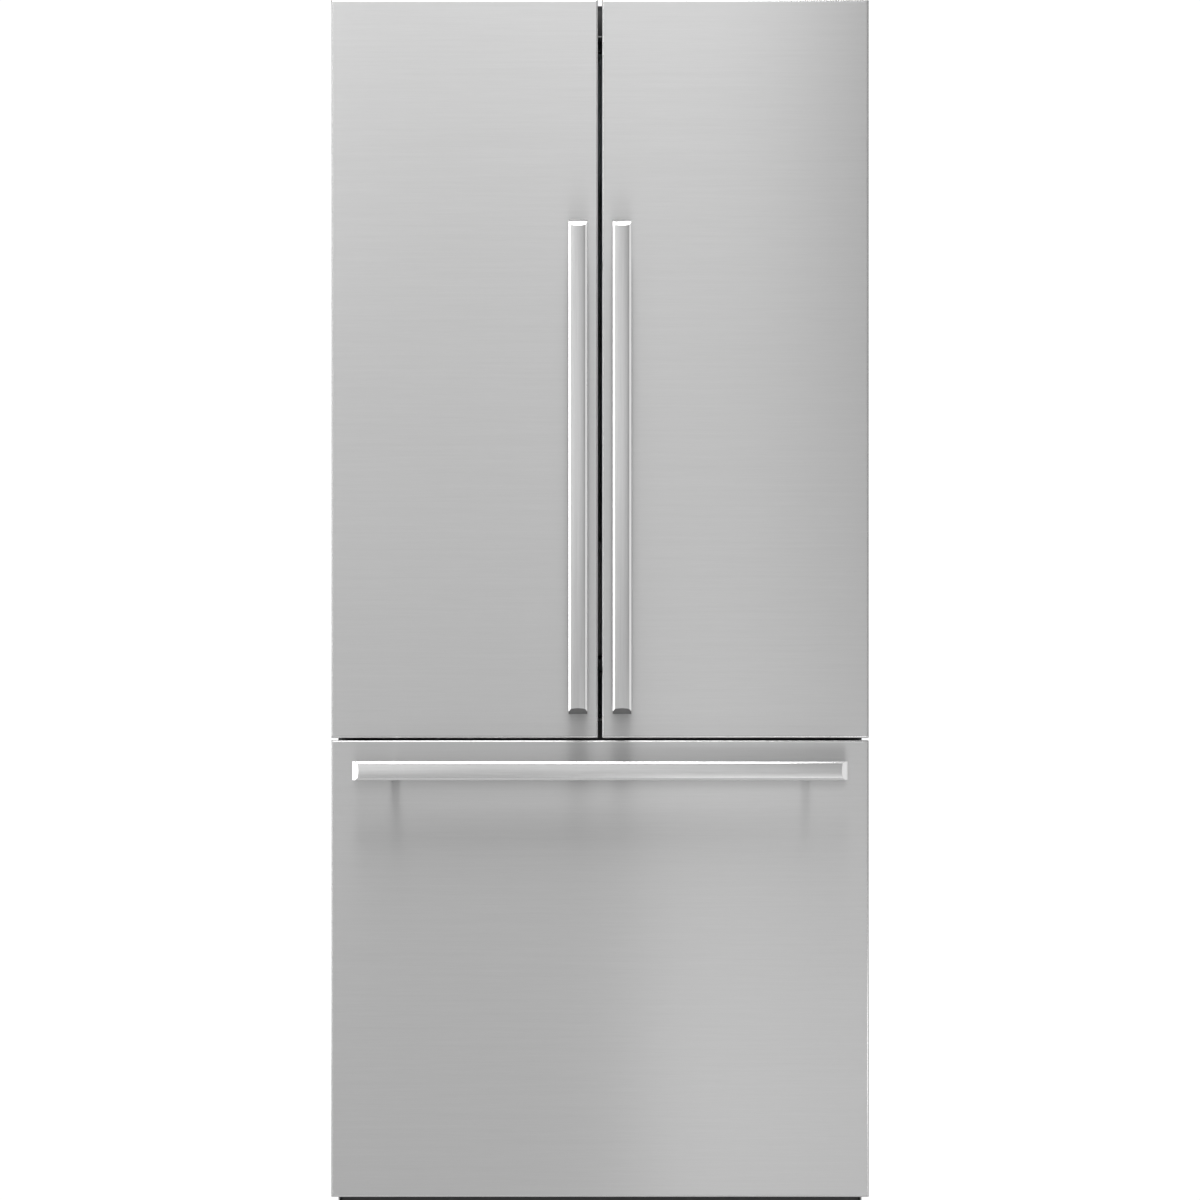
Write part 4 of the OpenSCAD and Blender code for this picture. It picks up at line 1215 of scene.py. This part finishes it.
@dataclass(frozen=True)
class SoftLight:
    """One soft rectangular light, aimed at a point and hidden from the camera."""

    name: str
    place: Triple
    target: Triple
    size: tuple[float, float]
    power: float

    def build(self) -> None:
        """Hangs the light."""
        data = bpy.data.lights.new(self.name, "AREA")
        data.shape = "RECTANGLE"
        data.size, data.size_y = self.size
        data.energy = self.power
        light = link(self.name, data)
        light.location = self.place
        aim = Vector(self.target) - Vector(self.place)
        light.rotation_euler = aim.to_track_quat("-Z", "Y").to_euler()
        light.visible_camera = False


LIGHTS = (
    SoftLight("front_soft", (0.3, -9.0, 2.2), (0.0, -0.3, 1.1), (3.0, 4.0), 28.0),
    SoftLight("left_front", (-2.4, -7.0, 2.0), (0.0, -0.3, 1.1), (1.6, 4.0), 24.0),
    SoftLight("top_left", (-1.5, -3.0, 3.6), (0.0, -0.3, 1.6), (1.8, 1.4), 14.0),
    SoftLight("overhead", (-0.22, -1.3, 3.9), (0.0, -0.3, 1.2), (1.5, 1.4), 34.0),
    SoftLight("low_right", (0.75, -1.6, 0.24), (0.4, -0.3, 0.2), (1.4, 0.26), 2.2),
    SoftLight("left_wall", (-3.6, -0.9, 1.4), (0.0, -0.3, 1.2), (1.6, 3.0), 30.0),
    SoftLight("right_wall", (3.6, -0.9, 1.4), (0.0, -0.3, 1.2), (1.6, 3.0), 8.0),
)


@dataclass
class Studio:
    """The pale floor, the white surround, the soft lights and the camera."""

    distance: float = 12.0
    frame_height: float = 2.026
    sensor: float = 36.0
    eye_height: float = 1.110
    panel_y: float = -0.275
    clip_end: float = 200.0
    surround_seen: float = 0.72
    surround_lit: float = 0.33

    def build(self) -> None:
        """Sets everything that isn't the refrigerator."""
        self.camera()
        self.world()
        self.floor()
        for light in LIGHTS:
            light.build()

    def camera(self) -> None:
        """A long lens, straight on."""
        data = bpy.data.cameras.new("front_camera")
        data.sensor_width = self.sensor
        data.lens = self.sensor * self.distance / self.frame_height
        data.clip_end = self.clip_end
        camera = link("front_camera", data)
        camera.location = (0.0, self.panel_y - self.distance, self.eye_height)
        camera.rotation_euler = (math.radians(90), 0.0, 0.0)
        bpy.context.scene.camera = camera

    def world(self) -> None:
        """A white surround for the eye that lights the metal as a softer grey."""
        scene = bpy.context.scene
        scene.view_settings.view_transform = "Standard"
        scene.world = bpy.data.worlds.new("studio")
        scene.world.use_nodes = True
        g = Graph(scene.world.node_tree)
        g.tree.nodes.clear()
        eye = g.first("ShaderNodeLightPath")
        level = eye * self.surround_seen + self.surround_lit
        sky = g.first("ShaderNodeBackground", {"Color": (1.0, 1.0, 1.0, 1.0), "Strength": level})
        g.node("ShaderNodeOutputWorld", {"Surface": sky})

    @staticmethod
    def floor() -> None:
        """A pale floor that ends close behind the refrigerator."""
        bm = bmesh.new()
        Loft((-5.0, 5.0, -7.0, 0.8), levels=[(0.0, -0.02), (0.0, 0.0)], radius=0.3, steps=12).add_to(bm)
        s = Surface("studio_floor")
        cloud = s.noise(3.0, detail=4.0)
        paint = s.finish({
            "Base Color": s.tint(cloud, grey(0.80), grey(0.84)), "Roughness": 0.55})
        new_object("floor", bm, [paint])


# ---- The pieces, in order ----


DETAILED_PIECES = [
    *(Tubs(f"{side}_door_bins", f"{side}_door", CLEAR, trim=0.012) for side in SIDES),
    Tubs("freezer_basket", "freezer_drawer", TRIM, 0.022, 0.003, 0.014, 0.009),
    Tubs("upper_tray", "upper_tray", TRIM, 0.018, 0.003, 0.010, 0.003),
    *(ClearDrawer(node) for node in ("left_crisper", "right_crisper", "pantry_drawer")),
    *(Leg(f"{side}_leg") for side in SIDES),
    Rollers(),
]

PLAIN_PIECES = [Softened(*row) for row in (
    ("cabinet_shell", CABINET_PAINT, 0.0004),
    ("back_panel", ZINC, 0.0003),
    ("base_frame", DARK_PAINT),
    ("cabinet_insulation", FOAM, 0.0),
    ("fridge_liner", LINER, 0.0006, 0.012),
    ("freezer_liner", LINER, 0.0006, 0.012),
    ("front_frame", FRAME_PAINTED_SHADE, 0.0004),
    ("top_hinges", HINGE_PAINTED_SHADE),
    ("centre_hinges", HINGE_PAINTED_SHADE),
    ("hinge_covers", GREY_PLASTIC),
    ("toe_grille", DARK_PAINT, 0.0004),
    ("machine_cover", ZINC, 0.0004),
    ("compressor", DARK_PAINT, 0.0015),
    ("air_duct", LINER, 0.001),
    ("evaporator_cover", LINER),
    ("fan_motors", BLACK_PLASTIC, 0.001),
    ("fridge_lights", LAMP, 0.0015),
    ("control_panel", BLACK_PLASTIC, 0.0015),
    ("shelf_supports", BRIGHT, 0.0003),
    ("shelf_frames", TRIM, 0.0012),
    ("shelf_glass", GLASS),
    ("slide_outers", BRIGHT, 0.0003),
    ("slide_middles", BRIGHT, 0.0003),
    ("ice_maker", TRIM, 0.0015),
    ("power_inlet", BLACK_PLASTIC, 0.0004),
    ("condenser_fan", BLACK_PLASTIC, 0.0003),
    ("evaporator_fan", TRIM, 0.0003),
    ("left_door_body", DOOR_CORE, 0.002),
    ("right_door_body", DOOR_CORE, 0.002),
    ("drawer_body", DOOR_CORE, 0.002),
    ("left_door_liner", LINER, 0.003, 0.003, 3),
    ("right_door_liner", LINER, 0.003, 0.003, 3),
    ("dairy_lid", CLEAR, 0.0008),
    ("flip_mullion", GREY_PLASTIC, 0.001),
    ("drawer_arms", BRIGHT, 0.0003),
)]


def main() -> None:
    """Builds every sub-assembly in order."""
    logging.basicConfig(level=logging.INFO, format="%(message)s")
    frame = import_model()
    Studio().build()
    fronts = (("left_door", "left_door"), ("right_door", "right_door"), ("drawer", "freezer_drawer"))
    for front, body in fronts:
        FoldedPanel(front + "_panel", body).build()
    for side in SIDES:
        BarHandle(f"{side}_handle_bar", f"{side}_handle_posts", f"{side}_door", True).build()
    BarHandle("drawer_handle_bar", "drawer_handle_posts", "freezer_drawer", False).build()
    seals, rack, screws = ring_tree(), row_tree(), screw_tree()
    for front, body in fronts:
        Seal(front + "_gasket", body, seals).build()
    Coil("condenser", 5, 60, ALUMINIUM, COPPER, rack, foot=0.01).build()
    Coil("evaporator", 6, 90, ALUMINIUM, ALUMINIUM, rack).build()
    Fixings(screws, rack).build(frame)
    for piece in (*DETAILED_PIECES, *PLAIN_PIECES):
        piece.build(frame)


if __name__ == "__main__":
    main()
